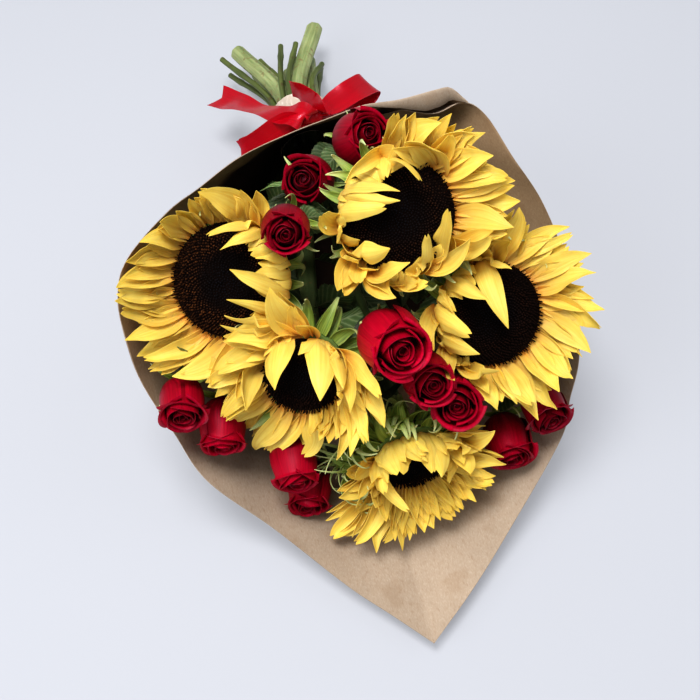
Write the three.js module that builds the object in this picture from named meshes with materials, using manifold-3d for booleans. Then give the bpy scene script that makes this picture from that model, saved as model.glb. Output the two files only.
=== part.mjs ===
// A hand-tied bunch of sunflowers and red roses, lying on its side in a cone of kraft paper.
// Millimetres, +Z up. Stems point to +Y, the corner of the paper sheet points to -Y.
// Everything is placed from the binding point, and the finished group is then moved so that
// the origin is the middle of the footprint on the surface.
import * as THREE from "three";
import { mergeVertices } from "three/addons/utils/BufferGeometryUtils.js";
import Module from "manifold-3d";

const wasm = await Module();
wasm.setup();

// ---------------------------------------------------------------- driving dimensions
const GAP = 0.3;                 // clearance between pieces that touch
const BIND_HEIGHT = 42;          // height of the binding point above the surface

const THICK_STEM_RADIUS = 7.9;   // sunflower stem
const THIN_STEM_RADIUS = 2.75;   // rose stem
const THICK_RING = 14.5;         // pitch radius of the sunflower stems inside the binding
const THIN_RING = 22.3;          // pitch radius of the outer rose stems
const THIN_SPREAD = 9.2;         // degrees by which a pair of rose stems parts, in one gap
const CORE_RING = 3.6;           // pitch radius of the rose stems in the middle
const SUNFLOWER_NECK = 40;       // length over which a stem turns into its sunflower
const ROSE_NECK = 22;            // the same for a rose
const NECK_START = 0.35;         // share of the rise at which a stem starts to lean out
const JOINT_SHARE = 0.2;         // last share of the neck, straight into the head

const TAPE_INNER = 25.7;         // paper tape round the stems
const TAPE_OUTER = 26.9;
const TAPE_BACK = 30;
const TAPE_FRONT = -33;
const BOUND_BACK = 31;           // between these two every stem is held parallel
const BOUND_FRONT = -36;
const RISE_STEPS = 7;            // stations of a stem between the binding and its head

const DISC_RADIUS = 36;          // brown middle of a sunflower
const DISC_DOME = 8;
const RECEPTACLE_TOP = -5;       // height of the green back's rim, from the middle of the head
const RECEPTACLE_RADIUS = 33;
const RECEPTACLE_DEPTH = 17;
const RAY_THICKNESS = 1.2;
const RAY_COUNT = 16;            // lobes of the ray ring
const RAY_ROOT = 28;             // radius at which the ray ring starts, under the disc
const RAY_BEND = 37.6;           // radius at which it turns up
const RAY_NOTCH = 0.72;          // length between two lobes, as a share of a lobe
const RAY_LOW_SHARE = 0.35;      // lower part of a ray, which has most of its lift
const RAY_LOW_LIFT = 0.7;
const RAY_FLOOR = RECEPTACLE_TOP + GAP + RAY_THICKNESS / 2;
const DISC_SEAT = RECEPTACLE_TOP + RAY_THICKNESS + 2 * GAP;

const BLOOM_LENGTH = 46;         // rose bloom, from calyx to lip
const BLOOM_RADIUS = 19.5;
const HIP_RADIUS = 5.5;          // green cup under a rose
const HIP_LENGTH = 9;
const HIP_OVERLAP = 0.6;         // share of the cup that the stem reaches into

const LEAF_THICKNESS = 0.8;

// Turned outlines, as [share of the radius, share of the height], from the bottom up.
const RECEPTACLE_OUTLINE = [[0, 0], [0.3, 0], [0.79, 0.47], [1, 0.88], [1, 1], [0, 1]];
const DISC_OUTLINE = [[0, 0], [0.945, 0], [1, 0.25], [0.92, 0.69], [0.5, 1], [0, 0.88]];
const BLOOM_OUTLINE = [
  [0, 0], [0.3, 0], [0.8, 0.17], [1, 0.42], [0.93, 0.72], [0.72, 0.97], [0.4, 1], [0, 0.94],
];
const HIP_OUTLINE = [[0, 0], [0.4, 0], [1, 0.55], [0.8, 1], [0, 1]];
const LEAF_OUTLINE = [[0, 0.18], [0.18, 0.7], [0.42, 1], [0.72, 0.66], [1, 0.08]];

const SHEET_THICKNESS = 0.8;     // kraft paper
const SHEET_NECK_RADIUS = 27.3;
const SHEET_NECK_BACK = -8;
const SHEET_NECK_FRONT = -34;
const SHEET_LAP = 1.3;           // how far the outer lap stands off the inner one at the neck
const SHEET_LAP_START = -130;    // turn at which the sheet starts to wind outwards
const SHEET_LAP_TURN = 330;      // turn over which it does
const SHEET_SAG = 30;            // how far the underside settles on the surface
const SHEET_STEPS = 7;           // stations between the neck and the mouth
const SLOPE_STEP = 0.02;         // share of that length used to read its slope

const RIBBON_WIDTH = 25;
const RIBBON_THICKNESS = 0.8;
const RIBBON_BAND_RADIUS = 29.9;
const RIBBON_PLACE = -22;        // where the ribbon is tied, measured along Y
const RIBBON_GATHER = 18;        // its width where it goes round the neck
const RIBBON_PINCH = 5;          // half its width where it comes out of the knot
const KNOT_SIZE = [10, 9, 6.5];  // half lengths
const KNOT_OFFSET = [5, -2, 6.1];   // from the top of the band round the neck

// ---------------------------------------------------------------- colours
const PAPER = { color: 0xc4a57f, roughness: 0.85 };
const TAPE = { color: 0xe1d2c8, roughness: 0.8 };
const SATIN = { color: 0xb8041f, roughness: 0.35 };
const THICK_STEM = { color: 0xa6b36a, roughness: 0.7 };
const THIN_STEM = { color: 0x5d7a34, roughness: 0.6 };
const BRACT = { color: 0x6f8f45, roughness: 0.7 };
const RAY = { color: 0xf2cf4a, roughness: 0.6 };
const FLORETS = { color: 0x24120b, roughness: 0.95 };
const ROSE = { color: 0x9c0526, roughness: 0.55 };
const LEAF = { color: 0x64883f, roughness: 0.6 };

const V = (x, y, z) => new THREE.Vector3(x, y, z);
const UP = V(0, 0, 1);
const BINDING = V(0, 0, BIND_HEIGHT);
const bunch = new THREE.Group();
const stemPaths = {};            // stem name: its stations, for what grows on it

function addPiece(name, geometry, finish) {
  const material = new THREE.MeshStandardMaterial({ ...finish, metalness: 0 });
  const mesh = new THREE.Mesh(geometry, material);
  mesh.name = name;
  bunch.add(mesh);
  return mesh;
}

// ---------------------------------------------------------------- solid builders
function bodyFromTriangles(points, triangles) {
  const geometry = new THREE.BufferGeometry();
  const numbers = points.flatMap((p) => p.toArray());
  geometry.setAttribute("position", new THREE.Float32BufferAttribute(numbers, 3));
  geometry.setIndex(triangles.flat());
  return geometry;
}

// Joins rings of equal length into one closed body. Each ring runs out along one face of a thin
// wall and back along the other, and both faces are split along the same diagonals. An open loft
// gets a cap at each end, made of the strip that joins the first half of the ring to the second.
function loft(rings, closed = false) {
  const n = rings[0].length;
  const count = rings.length;
  const triangles = [];
  const last = closed ? count : count - 1;
  for (let i = 0; i < last; i += 1) {
    const a = i * n;
    const b = ((i + 1) % count) * n;
    for (let k = 0; k < n; k += 1) {
      const next = (k + 1) % n;
      if (k < n / 2) triangles.push([a + k, b + next, b + k], [a + k, a + next, b + next]);
      else triangles.push([a + k, a + next, b + k], [a + next, b + next, b + k]);
    }
  }
  if (!closed) {
    const end = (count - 1) * n;
    for (let k = 0; k < n / 2 - 1; k += 1) {
      const [a, b, c, d] = [k, k + 1, n - 2 - k, n - 1 - k];
      triangles.push([c, b, a], [d, c, a]);
      triangles.push([end + a, end + b, end + c], [end + a, end + c, end + d]);
    }
  }
  return outward(bodyFromTriangles(rings.flat(), triangles));
}

function signedVolume(geometry) {
  const p = geometry.attributes.position;
  const index = geometry.index;
  const a = V(0, 0, 0);
  const b = V(0, 0, 0);
  const c = V(0, 0, 0);
  let total = 0;
  for (let i = 0; i < index.count; i += 3) {
    a.fromBufferAttribute(p, index.getX(i));
    b.fromBufferAttribute(p, index.getX(i + 1));
    c.fromBufferAttribute(p, index.getX(i + 2));
    total += a.dot(b.cross(c));
  }
  return total;
}

function outward(geometry) {
  if (signedVolume(geometry) > 0) return geometry;
  const index = geometry.index;
  for (let i = 0; i < index.count; i += 3) {
    const first = index.getX(i);
    index.setX(i, index.getX(i + 1));
    index.setX(i + 1, first);
  }
  return geometry;
}

function toSolid(geometry) {
  const plain = geometry.clone();
  plain.deleteAttribute("normal");
  plain.deleteAttribute("uv");
  const merged = mergeVertices(plain);
  return new wasm.Manifold(new wasm.Mesh({
    numProp: 3,
    vertProperties: new Float32Array(merged.attributes.position.array),
    triVerts: new Uint32Array(merged.index.array),
  }));
}

function fromSolid(solid) {
  const mesh = solid.getMesh();
  const geometry = new THREE.BufferGeometry();
  geometry.setAttribute("position", new THREE.BufferAttribute(mesh.vertProperties, 3));
  geometry.setIndex(new THREE.BufferAttribute(mesh.triVerts, 1));
  return geometry;
}

// A path that passes each of its stations in equal shares of its parameter.
class StationPath extends THREE.Curve {
  constructor(stations) {
    super();
    this.stations = stations;
  }

  getPoint(part, target = V(0, 0, 0)) {
    const place = THREE.MathUtils.clamp(part, 0, 1) * (this.stations.length - 1);
    const index = Math.min(Math.floor(place), this.stations.length - 2);
    return target.copy(this.stations[index]).lerp(this.stations[index + 1], place - index);
  }

  getUtoTmapping(part) {
    return part;
  }
}

function tube(stations, radius, sides) {
  const section = new THREE.Shape();
  for (let i = 0; i < sides; i += 1) {
    const turn = (i / sides) * Math.PI * 2;
    const x = radius * Math.cos(turn);
    const y = radius * Math.sin(turn);
    if (i === 0) section.moveTo(x, y);
    else section.lineTo(x, y);
  }
  const steps = stations.length - 1;
  const extrudePath = new StationPath(stations);
  return new THREE.ExtrudeGeometry(section, { steps, bevelEnabled: false, extrudePath });
}

const scaled = (outline, radius, height) => outline.map(([r, h]) => [r * radius, h * height]);

// A turned shape whose axis starts at a base point and runs along a direction.
function turned(profile, segments, base, axis) {
  const geometry = new THREE.LatheGeometry(profile.map(([r, h]) => new THREE.Vector2(r, h)), segments);
  geometry.applyQuaternion(new THREE.Quaternion().setFromUnitVectors(V(0, 1, 0), axis));
  geometry.translate(base.x, base.y, base.z);
  return geometry;
}

// A flat band along a path: each station is [centre, direction across, half width].
function band(stations, thickness) {
  const rings = stations.map(([centre, across, half], i) => {
    const before = stations[Math.max(i - 1, 0)][0];
    const after = stations[Math.min(i + 1, stations.length - 1)][0];
    const along = after.clone().sub(before).normalize();
    const side = across.clone().addScaledVector(along, -across.dot(along)).normalize();
    const normal = along.clone().cross(side).multiplyScalar(thickness / 2);
    const corners = [[-half, 1], [half, 1], [half, -1], [-half, -1]];
    return corners.map(([a, b]) => centre.clone().addScaledVector(side, a).addScaledVector(normal, b));
  });
  return loft(rings);
}

// ---------------------------------------------------------------- flowers: where they are
// Each sunflower: middle of the disc, the way it faces, slot in the binding, the cut end of its
// stem, and how its rays stand: [clock angle, lift, length]. Clock 0 is the +X side, 90 the side
// towards the stems; lift 0 lies flat, 90 stands straight up, more folds over the disc.
const SUNFLOWERS = [
  {
    name: "sunflower_top",
    centre: [21, -257, 230],
    faces: [-0.17, -0.58, 0.8],
    slot: 80,
    cut: [34, 122, 38],
    rays: [
      [0, 22, 44], [60, 30, 40], [110, 55, 30], [150, 85, 26],
      [200, 95, 24], [260, 85, 24], [310, 60, 26],
    ],
  },
  {
    name: "sunflower_left",
    centre: [-97, -262, 196],
    faces: [-0.22, -0.6, 0.77],
    slot: 152,
    cut: [-43, 110, 34],
    rays: [
      [0, 105, 23], [40, 110, 21], [80, 80, 26], [120, 65, 30],
      [180, 55, 34], [240, 45, 34], [300, 95, 20],
    ],
  },
  {
    name: "sunflower_right",
    centre: [78, -309, 166],
    faces: [0.03, -0.64, 0.77],
    slot: 8,
    cut: [24, 100, 18],
    rays: [[0, 18, 44], [60, 45, 34], [120, 85, 24], [180, 95, 22], [250, 80, 24], [310, 35, 36]],
  },
  {
    name: "sunflower_middle",
    centre: [-60, -322, 152],
    faces: [-0.25, -0.8, 0.55],
    slot: 224,
    cut: [-26, 98, 14],
    rays: [[0, 70, 30], [60, 95, 24], [120, 95, 18], [180, 80, 26], [240, 50, 34], [300, 45, 36]],
  },
  {
    name: "sunflower_front",
    centre: [12, -368, 72],
    faces: [0.05, -0.97, 0.22],
    slot: 296,
    cut: [4, 92, 12],
    rays: [
      [0, 50, 40], [60, 60, 36], [120, 60, 36], [180, 50, 40],
      [230, 78, 36], [270, 88, 34], [310, 78, 36],
    ],
  },
];

// Each rose: [middle of the bloom, the way it faces, slot, cut end of its stem, size factor].
// A slot is a ring and an angle; the stems of a pair share one gap between two sunflower stems.
const single = (angle) => [THIN_RING, angle];
const first = (angle) => [THIN_RING, angle - THIN_SPREAD];
const second = (angle) => [THIN_RING, angle + THIN_SPREAD];
const core = (angle) => [CORE_RING, angle];
const ROSES = [
  [[10, -182, 231], [0.1, -0.45, 0.89], single(44), [40, 76, 40], 1.05],
  [[-28, -200, 207], [-0.2, -0.55, 0.81], first(116), [12, 92, 52], 1],
  [[-52, -256, 241], [-0.05, -0.6, 0.8], second(116), [-2, 98, 46], 0.95],
  [[2, -327, 188], [0.2, -0.8, 0.56], core(120), [-24, 92, 37], 1.1],
  [[25, -344, 150], [0.1, -0.85, 0.52], core(240), [-15, 84, 30], 0.95],
  [[52, -356, 128], [0.15, -0.88, 0.45], core(0), [10, 96, 30], 0.9],
  [[-148, -318, 146], [-0.2, -0.9, 0.3], first(188), [-60, 101, 38], 0.95],
  [[-120, -322, 106], [-0.1, -0.99, 0.05], second(188), [-54, 98, 18], 0.95],
  [[-74, -352, 84], [-0.05, -0.98, 0.1], first(260), [-38, 92, 5], 0.9],
  [[-62, -358, 44], [-0.1, -0.99, 0.05], second(260), [-12, 96, 5], 0.9],
  [[92, -362, 70], [0.15, -0.97, 0.2], first(332), [20, 92, 5], 0.9],
  [[118, -352, 98], [0.25, -0.93, 0.25], second(332), [44, 96, 12], 0.85],
];

function slotPoint([radius, angle], y) {
  const turn = THREE.MathUtils.degToRad(angle);
  return V(radius * Math.cos(turn), y, BIND_HEIGHT + radius * Math.sin(turn));
}

// A stem runs from its cut end through its slot in the binding, then out to the back of its head.
function stemPath(cut, slot, foot, facing, neck) {
  const back = slotPoint(slot, BOUND_BACK);
  const front = slotPoint(slot, BOUND_FRONT);
  const bend = foot.clone().addScaledVector(facing, -neck);
  const joint = foot.clone().addScaledVector(facing, -neck * JOINT_SHARE);
  const rise = new THREE.CubicBezierCurve3(front, front.clone().lerp(bend, NECK_START), bend, joint);
  return [V(...cut), back, ...rise.getPoints(RISE_STEPS), foot];
}

// ---------------------------------------------------------------- sunflowers
function clockFrame(facing) {
  const right = UP.clone().cross(facing).normalize();
  return { right, rise: facing.clone().cross(right) };
}

// Value of a ray list at a clock angle, eased between its neighbours all the way round.
function standing(rays, angle) {
  const turn = ((angle % 360) + 360) % 360;
  const next = rays.findIndex((ray) => ray[0] > turn);
  const to = next < 0 ? rays[0] : rays[next];
  const from = next < 0 ? rays[rays.length - 1] : rays[(next + rays.length - 1) % rays.length];
  const span = (to[0] - from[0] + 360) % 360 || 360;
  const part = ((turn - from[0] + 360) % 360) / span;
  const ease = part * part * (3 - 2 * part);
  return { lift: from[1] + (to[1] - from[1]) * ease, length: from[2] + (to[2] - from[2]) * ease };
}

// One closed ring of rays round a head, folded out of a thin sheet.
function rayRing(centre, facing, rays) {
  const { right, rise } = clockFrame(facing);
  const rings = [];
  for (let i = 0; i < RAY_COUNT * 2; i += 1) {
    const angle = (i / (RAY_COUNT * 2)) * 360;
    const { lift, length } = standing(rays, angle);
    const reach = i % 2 === 0 ? length : length * RAY_NOTCH;
    const low = THREE.MathUtils.degToRad(lift * RAY_LOW_LIFT);
    const full = THREE.MathUtils.degToRad(lift);
    const lowReach = reach * RAY_LOW_SHARE;
    const middle = [RAY_BEND + Math.cos(low) * lowReach, RAY_FLOOR + Math.sin(low) * lowReach];
    const tip = middle.map((value, k) => value + [Math.cos(full), Math.sin(full)][k] * (reach - lowReach));
    const line = [
      { place: [RAY_ROOT, RAY_FLOOR], slope: 0 },
      { place: [RAY_BEND, RAY_FLOOR], slope: low / 2 },
      { place: middle, slope: (low + full) / 2 },
      { place: tip, slope: full },
    ];
    const face = (side) => line.map(({ place: [r, h], slope }) => {
      const t = (side * RAY_THICKNESS) / 2;
      return [r - Math.sin(slope) * t, h + Math.cos(slope) * t];
    });
    const outline = [...face(1), ...face(-1).reverse()];
    const turn = THREE.MathUtils.degToRad(angle);
    const out = right.clone().multiplyScalar(Math.cos(turn)).addScaledVector(rise, Math.sin(turn));
    rings.push(outline.map(([r, h]) => centre.clone().addScaledVector(out, r).addScaledVector(facing, h)));
  }
  return loft(rings, true);
}

function addSunflower({ name, centre, faces, slot, cut, rays }) {
  const head = V(...centre);
  const facing = V(...faces).normalize();
  const base = head.clone().addScaledVector(facing, RECEPTACLE_TOP - RECEPTACLE_DEPTH);
  const seat = head.clone().addScaledVector(facing, DISC_SEAT);
  const cup = scaled(RECEPTACLE_OUTLINE, RECEPTACLE_RADIUS, RECEPTACLE_DEPTH);
  const dome = scaled(DISC_OUTLINE, DISC_RADIUS, DISC_DOME);
  addPiece(`${name}_receptacle`, turned(cup, 12, base, facing), BRACT);
  addPiece(`${name}_ray_petals`, rayRing(head, facing, rays), RAY);
  addPiece(`${name}_disc`, turned(dome, 16, seat, facing), FLORETS);
  const foot = base.clone().addScaledVector(facing, -GAP);
  const path = stemPath(cut, [THICK_RING, slot], foot, facing, SUNFLOWER_NECK);
  stemPaths[name] = { path, radius: THICK_STEM_RADIUS };
  addPiece(`${name}_stem`, tube(path, THICK_STEM_RADIUS, 8), THICK_STEM);
}
SUNFLOWERS.forEach(addSunflower);

// ---------------------------------------------------------------- roses
function addRose([centre, faces, slot, cut, size], index) {
  const name = `rose_${index + 1}`;
  const facing = V(...faces).normalize();
  const length = BLOOM_LENGTH * size;
  const base = V(...centre).addScaledVector(facing, -length / 2);
  const bloom = scaled(BLOOM_OUTLINE, BLOOM_RADIUS * size, length);
  addPiece(`${name}_bloom`, turned(bloom, 10, base, facing), ROSE);
  const hipTop = base.clone().addScaledVector(facing, -GAP);
  const foot = hipTop.clone().addScaledVector(facing, -HIP_LENGTH * HIP_OVERLAP);
  const path = stemPath(cut, slot, foot, facing, ROSE_NECK);
  stemPaths[name] = { path, radius: THIN_STEM_RADIUS };
  const hipBase = hipTop.clone().addScaledVector(facing, -HIP_LENGTH);
  const hip = turned(scaled(HIP_OUTLINE, HIP_RADIUS, HIP_LENGTH), 8, hipBase, facing);
  const joined = toSolid(tube(path, THIN_STEM_RADIUS, 8)).add(toSolid(hip));
  addPiece(`${name}_stem`, fromSolid(joined), THIN_STEM);
}
ROSES.forEach(addRose);

// ---------------------------------------------------------------- leaves
// Each leaf: the stem it grows on, how far along the stem's free part, the way it points, and its
// length, half width and droop.
const LEAVES = [
  { stem: "sunflower_middle", at: 0.72, points: [0.75, -0.45, 0.6], length: 58, half: 15, droop: 10 },
  { stem: "sunflower_top", at: 0.62, points: [0.6, -0.5, -0.1], length: 52, half: 15, droop: 6 },
  { stem: "rose_6", at: 0.78, points: [0.9, -0.3, 0.35], length: 40, half: 11, droop: 6 },
  { stem: "sunflower_front", at: 0.72, points: [-0.85, -0.3, 0.5], length: 56, half: 15, droop: 12 },
  { stem: "sunflower_left", at: 0.6, points: [0.5, -0.3, 0.8], length: 54, half: 14, droop: 12 },
  { stem: "rose_2", at: 0.72, points: [-0.8, -0.2, 0.3], length: 40, half: 10, droop: 8 },
];

function addLeaf({ stem, at, points, length, half, droop }, index) {
  const { path, radius } = stemPaths[stem];
  const place = 2 + at * (path.length - 3);
  const station = Math.floor(place);
  const along = path[station + 1].clone().sub(path[station]).normalize();
  const root = path[station].clone().lerp(path[station + 1], place - station);
  const out = V(...points);
  out.addScaledVector(along, -out.dot(along)).normalize();
  root.addScaledVector(out, radius + GAP);
  const stations = LEAF_OUTLINE.map(([part, width]) => {
    const centre = root.clone().addScaledVector(out, length * part);
    centre.z -= droop * part * part;
    return [centre, along, half * width];
  });
  addPiece(`leaf_${index + 1}`, band(stations, LEAF_THICKNESS), LEAF);
}
LEAVES.forEach(addLeaf);

// ---------------------------------------------------------------- tape round the stems
function sleeve(inner, outer, back, front) {
  const profile = [[inner, -back], [outer, -back], [outer, -front], [inner, -front], [inner, -back]];
  return turned(profile, 24, BINDING, V(0, -1, 0));
}
addPiece("stem_tape", sleeve(TAPE_INNER, TAPE_OUTER, TAPE_BACK, TAPE_FRONT), TAPE);

// ---------------------------------------------------------------- kraft paper
// The edge of the sheet round the mouth of the cone, from the inner lap over the right side, the
// corner at the front and the left side to the outer lap. Each: [turn round the neck, x, y, z];
// turn 0 is the underside and 90 the -X side.
const MOUTH = [
  [-160, 54, -134, 188], [-147, 81, -143, 188], [-138, 103, -146, 193], [-126, 118, -155, 190],
  [-112, 128, -186, 178], [-95, 143, -221, 160], [-80, 156, -267, 135], [-64, 159, -322, 107],
  [-52, 143, -349, 82], [-43, 128, -370, 62], [-20, 69, -422, 30], [-9, 34, -456, 22], [0, 0, -487, 18],
  [7, -24, -461, 20], [15, -50, -432, 24], [30, -93, -380, 41], [50, -138, -350, 76], [62, -155, -320, 102],
  [78, -169, -296, 140], [92, -174, -283, 178], [105, -172, -270, 212], [112, -160, -251, 226],
  [120, -129, -211, 214], [132, -105, -187, 206], [148, -72, -160, 201], [163, -32, -145, 200],
  [178, -1, -137, 200], [192, 27, -132, 202], [203, 53, -136, 206], [214, 81, -138, 212],
  [224, 106, -142, 203],
];

function neckPoint(turn, y) {
  const part = THREE.MathUtils.clamp((turn - SHEET_LAP_START) / SHEET_LAP_TURN, 0, 1);
  const radius = SHEET_NECK_RADIUS + SHEET_THICKNESS + SHEET_LAP * part;
  const angle = THREE.MathUtils.degToRad(turn);
  return V(-radius * Math.sin(angle), y, BIND_HEIGHT - radius * Math.cos(angle));
}

// A point of the outer face: straight down the cone, sagging until it lies on the surface.
function sheetPoint(turn, mouth, part) {
  const point = neckPoint(turn, SHEET_NECK_FRONT).lerp(mouth, part);
  const underside = Math.max(0, Math.cos(THREE.MathUtils.degToRad(turn)));
  point.z -= SHEET_SAG * underside * Math.sin(Math.PI * part);
  point.z = Math.max(point.z, 0);
  return point;
}

function mouthAt(index) {
  const [turn, x, y, z] = MOUTH[THREE.MathUtils.clamp(index, 0, MOUTH.length - 1)];
  return { turn, mouth: V(x, y, z) };
}

function sheetRing(index) {
  const { turn, mouth } = mouthAt(index);
  const before = mouthAt(index - 1);
  const after = mouthAt(index + 1);
  const angle = THREE.MathUtils.degToRad(turn);
  const inward = V(Math.sin(angle), 0, Math.cos(angle));
  const outer = [neckPoint(turn, SHEET_NECK_BACK)];
  const inner = [outer[0].clone().addScaledVector(inward, SHEET_THICKNESS)];
  for (let k = 0; k <= SHEET_STEPS; k += 1) {
    const part = k / SHEET_STEPS;
    const point = sheetPoint(turn, mouth, part);
    const ahead = sheetPoint(turn, mouth, Math.min(part + SLOPE_STEP, 1));
    const behind = sheetPoint(turn, mouth, Math.max(part - SLOPE_STEP, 0));
    const across = sheetPoint(after.turn, after.mouth, part);
    across.sub(sheetPoint(before.turn, before.mouth, part));
    const normal = across.cross(ahead.sub(behind)).normalize();
    if (k === 0) normal.copy(inward);
    if (normal.dot(inward) < 0) normal.negate();
    outer.push(point);
    inner.push(point.clone().addScaledVector(normal, SHEET_THICKNESS));
  }
  return [...outer, ...inner.reverse()];
}
const sheetRings = MOUTH.map((row, index) => sheetRing(index));
addPiece("kraft_wrap", loft(sheetRings), PAPER);

// ---------------------------------------------------------------- ribbon bow
const bandOuter = RIBBON_BAND_RADIUS + RIBBON_THICKNESS;
const bandBack = RIBBON_PLACE + RIBBON_GATHER / 2;
const ribbonBand = sleeve(RIBBON_BAND_RADIUS, bandOuter, bandBack, bandBack - RIBBON_GATHER);
addPiece("ribbon_band", ribbonBand, SATIN);

const KNOT = V(...KNOT_OFFSET).add(V(0, RIBBON_PLACE, BIND_HEIGHT + bandOuter));
const knot = new THREE.SphereGeometry(1, 10, 6);
knot.scale(...KNOT_SIZE);
knot.translate(KNOT.x, KNOT.y, KNOT.z);
addPiece("ribbon_knot", knot, SATIN);

// Each ribbon piece: where it comes out of the knot, as a direction, its centre line from there,
// and the direction across it at each point. A loop goes back into the knot.
const RIBBONS = {
  ribbon_loop_right: {
    out: [[0.85, 0.4, 0.35], [0.3, -0.5, 0.8]],
    route: [
      [[28, -10, 90], [0.4, -0.8, 0.4]], [[48, 4, 92], [0.6, -0.75, 0.1]],
      [[63, 12, 82], [0.64, -0.75, -0.1]], [[66, 8, 72], [0.64, -0.75, -0.15]],
      [[54, -2, 66], [0.6, -0.78, 0]], [[32, -16, 68], [0.4, -0.85, 0.1]],
    ],
    back: [[0.9, 0.1, -0.35], [0.3, -0.7, 0.4]],
  },
  ribbon_loop_left: {
    out: [[-0.85, -0.4, 0.1], [0.2, -0.4, 0.8]],
    route: [
      [[-20, -36, 78], [0.1, -0.4, 0.9]], [[-44, -40, 72], [0.1, -0.3, 0.95]],
      [[-63, -38, 64], [0.1, -0.2, 0.95]], [[-61, -27, 54], [0.1, -0.2, 0.95]],
      [[-46, -28, 56], [0.1, -0.2, 0.95]],
    ],
  },
  ribbon_tail_left: {
    out: [[-0.8, 0.5, 0.3], [0.4, 0.6, -0.6]],
    route: [
      [[-12, -12, 84], [0.5, 0.8, -0.3]], [[-32, 4, 74], [0.5, 0.85, -0.1]],
      [[-52, 26, 62], [0.45, 0.9, 0]], [[-70, 46, 52], [0.41, 0.91, 0]],
    ],
  },
  ribbon_tail_middle: {
    out: [[0.05, 0.75, 0.65], [1, -0.1, 0]],
    route: [
      [[8, -8, 94], [0.95, -0.3, 0]], [[6, 4, 99], [0.9, -0.2, 0.3]], [[-4, 12, 96], [0.6, 0.3, 0.7]],
      [[-13, 18, 86], [0.4, 0.7, 0.5]],
    ],
  },
};

function knotSurface([x, y, z]) {
  const reach = 1 / Math.hypot(x / KNOT_SIZE[0], y / KNOT_SIZE[1], z / KNOT_SIZE[2]);
  const clear = GAP / Math.hypot(x, y, z);
  return KNOT.clone().add(V(x, y, z).multiplyScalar(reach + clear));
}

for (const [name, { out, route, back }] of Object.entries(RIBBONS)) {
  const stations = route.map(([centre, across]) => [V(...centre), V(...across), RIBBON_WIDTH / 2]);
  stations.unshift([knotSurface(out[0]), V(...out[1]), RIBBON_PINCH]);
  if (back) stations.push([knotSurface(back[0]), V(...back[1]), RIBBON_PINCH]);
  addPiece(name, band(stations, RIBBON_THICKNESS), SATIN);
}

// ---------------------------------------------------------------- place on the surface
bunch.updateMatrixWorld(true);
const box = new THREE.Box3().setFromObject(bunch);
const middle = box.getCenter(V(0, 0, 0));
bunch.position.set(-middle.x, -middle.y, -box.min.z);

export default bunch;
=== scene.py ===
import math
from collections import namedtuple

import bpy
import numpy as np
from mathutils import Matrix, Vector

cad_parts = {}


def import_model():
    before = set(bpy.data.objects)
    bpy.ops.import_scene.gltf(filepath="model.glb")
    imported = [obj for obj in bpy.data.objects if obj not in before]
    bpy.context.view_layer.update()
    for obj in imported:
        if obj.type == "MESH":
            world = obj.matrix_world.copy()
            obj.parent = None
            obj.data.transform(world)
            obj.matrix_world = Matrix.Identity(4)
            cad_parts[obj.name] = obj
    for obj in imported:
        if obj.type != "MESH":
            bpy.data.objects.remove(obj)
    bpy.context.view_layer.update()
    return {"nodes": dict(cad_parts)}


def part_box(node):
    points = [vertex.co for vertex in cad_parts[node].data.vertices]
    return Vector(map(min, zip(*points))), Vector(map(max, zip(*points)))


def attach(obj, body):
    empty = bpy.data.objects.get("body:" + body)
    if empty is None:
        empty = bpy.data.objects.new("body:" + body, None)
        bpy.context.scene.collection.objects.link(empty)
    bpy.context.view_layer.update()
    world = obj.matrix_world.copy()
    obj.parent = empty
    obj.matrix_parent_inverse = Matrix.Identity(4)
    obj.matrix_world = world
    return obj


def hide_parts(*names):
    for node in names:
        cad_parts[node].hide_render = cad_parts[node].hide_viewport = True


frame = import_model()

# ---------------------------------------------------------------- where the bunch is
# Lengths are millimetres from the binding point: stems to +Y, the paper's corner to -Y.
BIND_HEIGHT = 42         # height of the binding point over the surface
TAPE_MIDDLE = -1.5       # middle of the tape, measured along Y
UP = np.array([0.0, 0.0, 1.0])
tape_low, tape_high = (np.array(corner) * 1000 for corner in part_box("stem_tape"))
BINDING_SHIFT = (tape_low + tape_high) / 2 - (0, TAPE_MIDDLE, BIND_HEIGHT)

LINE_FINENESS = 12       # steps between two stations when a smooth line is measured
OUTLINE_STEPS = 101      # steps in which an outline is read
OUTLINE_SOFTNESS = 4     # how many of them its corners are rounded over, to each side


def metres(points):
    return (np.asarray(points, float) + BINDING_SHIFT) / 1000


def unit(vectors):
    vectors = np.asarray(vectors, float)
    return vectors / np.maximum(np.linalg.norm(vectors, axis=-1, keepdims=True), 1e-9)


def ease(start, end, value):
    part = np.clip((value - start) / (end - start), 0, 1)
    return part * part * (3 - 2 * part)


def round_angles(count):
    return np.linspace(0, 2 * math.pi, count, endpoint=False)


def length_of(line):
    return np.linalg.norm(np.diff(line, axis=0), axis=1).sum()


def smooth_line(stations, count):
    """A smooth line of count points through the stations, evenly spaced."""
    knots = np.asarray(stations, float)
    knots = np.vstack([2 * knots[0] - knots[1], knots, 2 * knots[-1] - knots[-2]])
    place = np.linspace(0, len(knots) - 3 - 1e-6, LINE_FINENESS * len(knots))
    k = place.astype(int)
    t = (place - k)[:, None]
    a, b, c, d = knots[k], knots[k + 1], knots[k + 2], knots[k + 3]
    line = 0.5 * (2 * b + (c - a) * t + (2 * a - 5 * b + 4 * c - d) * t**2
                  + (3 * b - a - 3 * c + d) * t**3)
    steps = np.linalg.norm(np.diff(line[:, :3], axis=0), axis=1)
    reach = np.concatenate([[0], np.cumsum(steps)])
    even = np.linspace(0, reach[-1], count)
    return np.stack([np.interp(even, reach, column) for column in line.T], axis=1)


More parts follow.
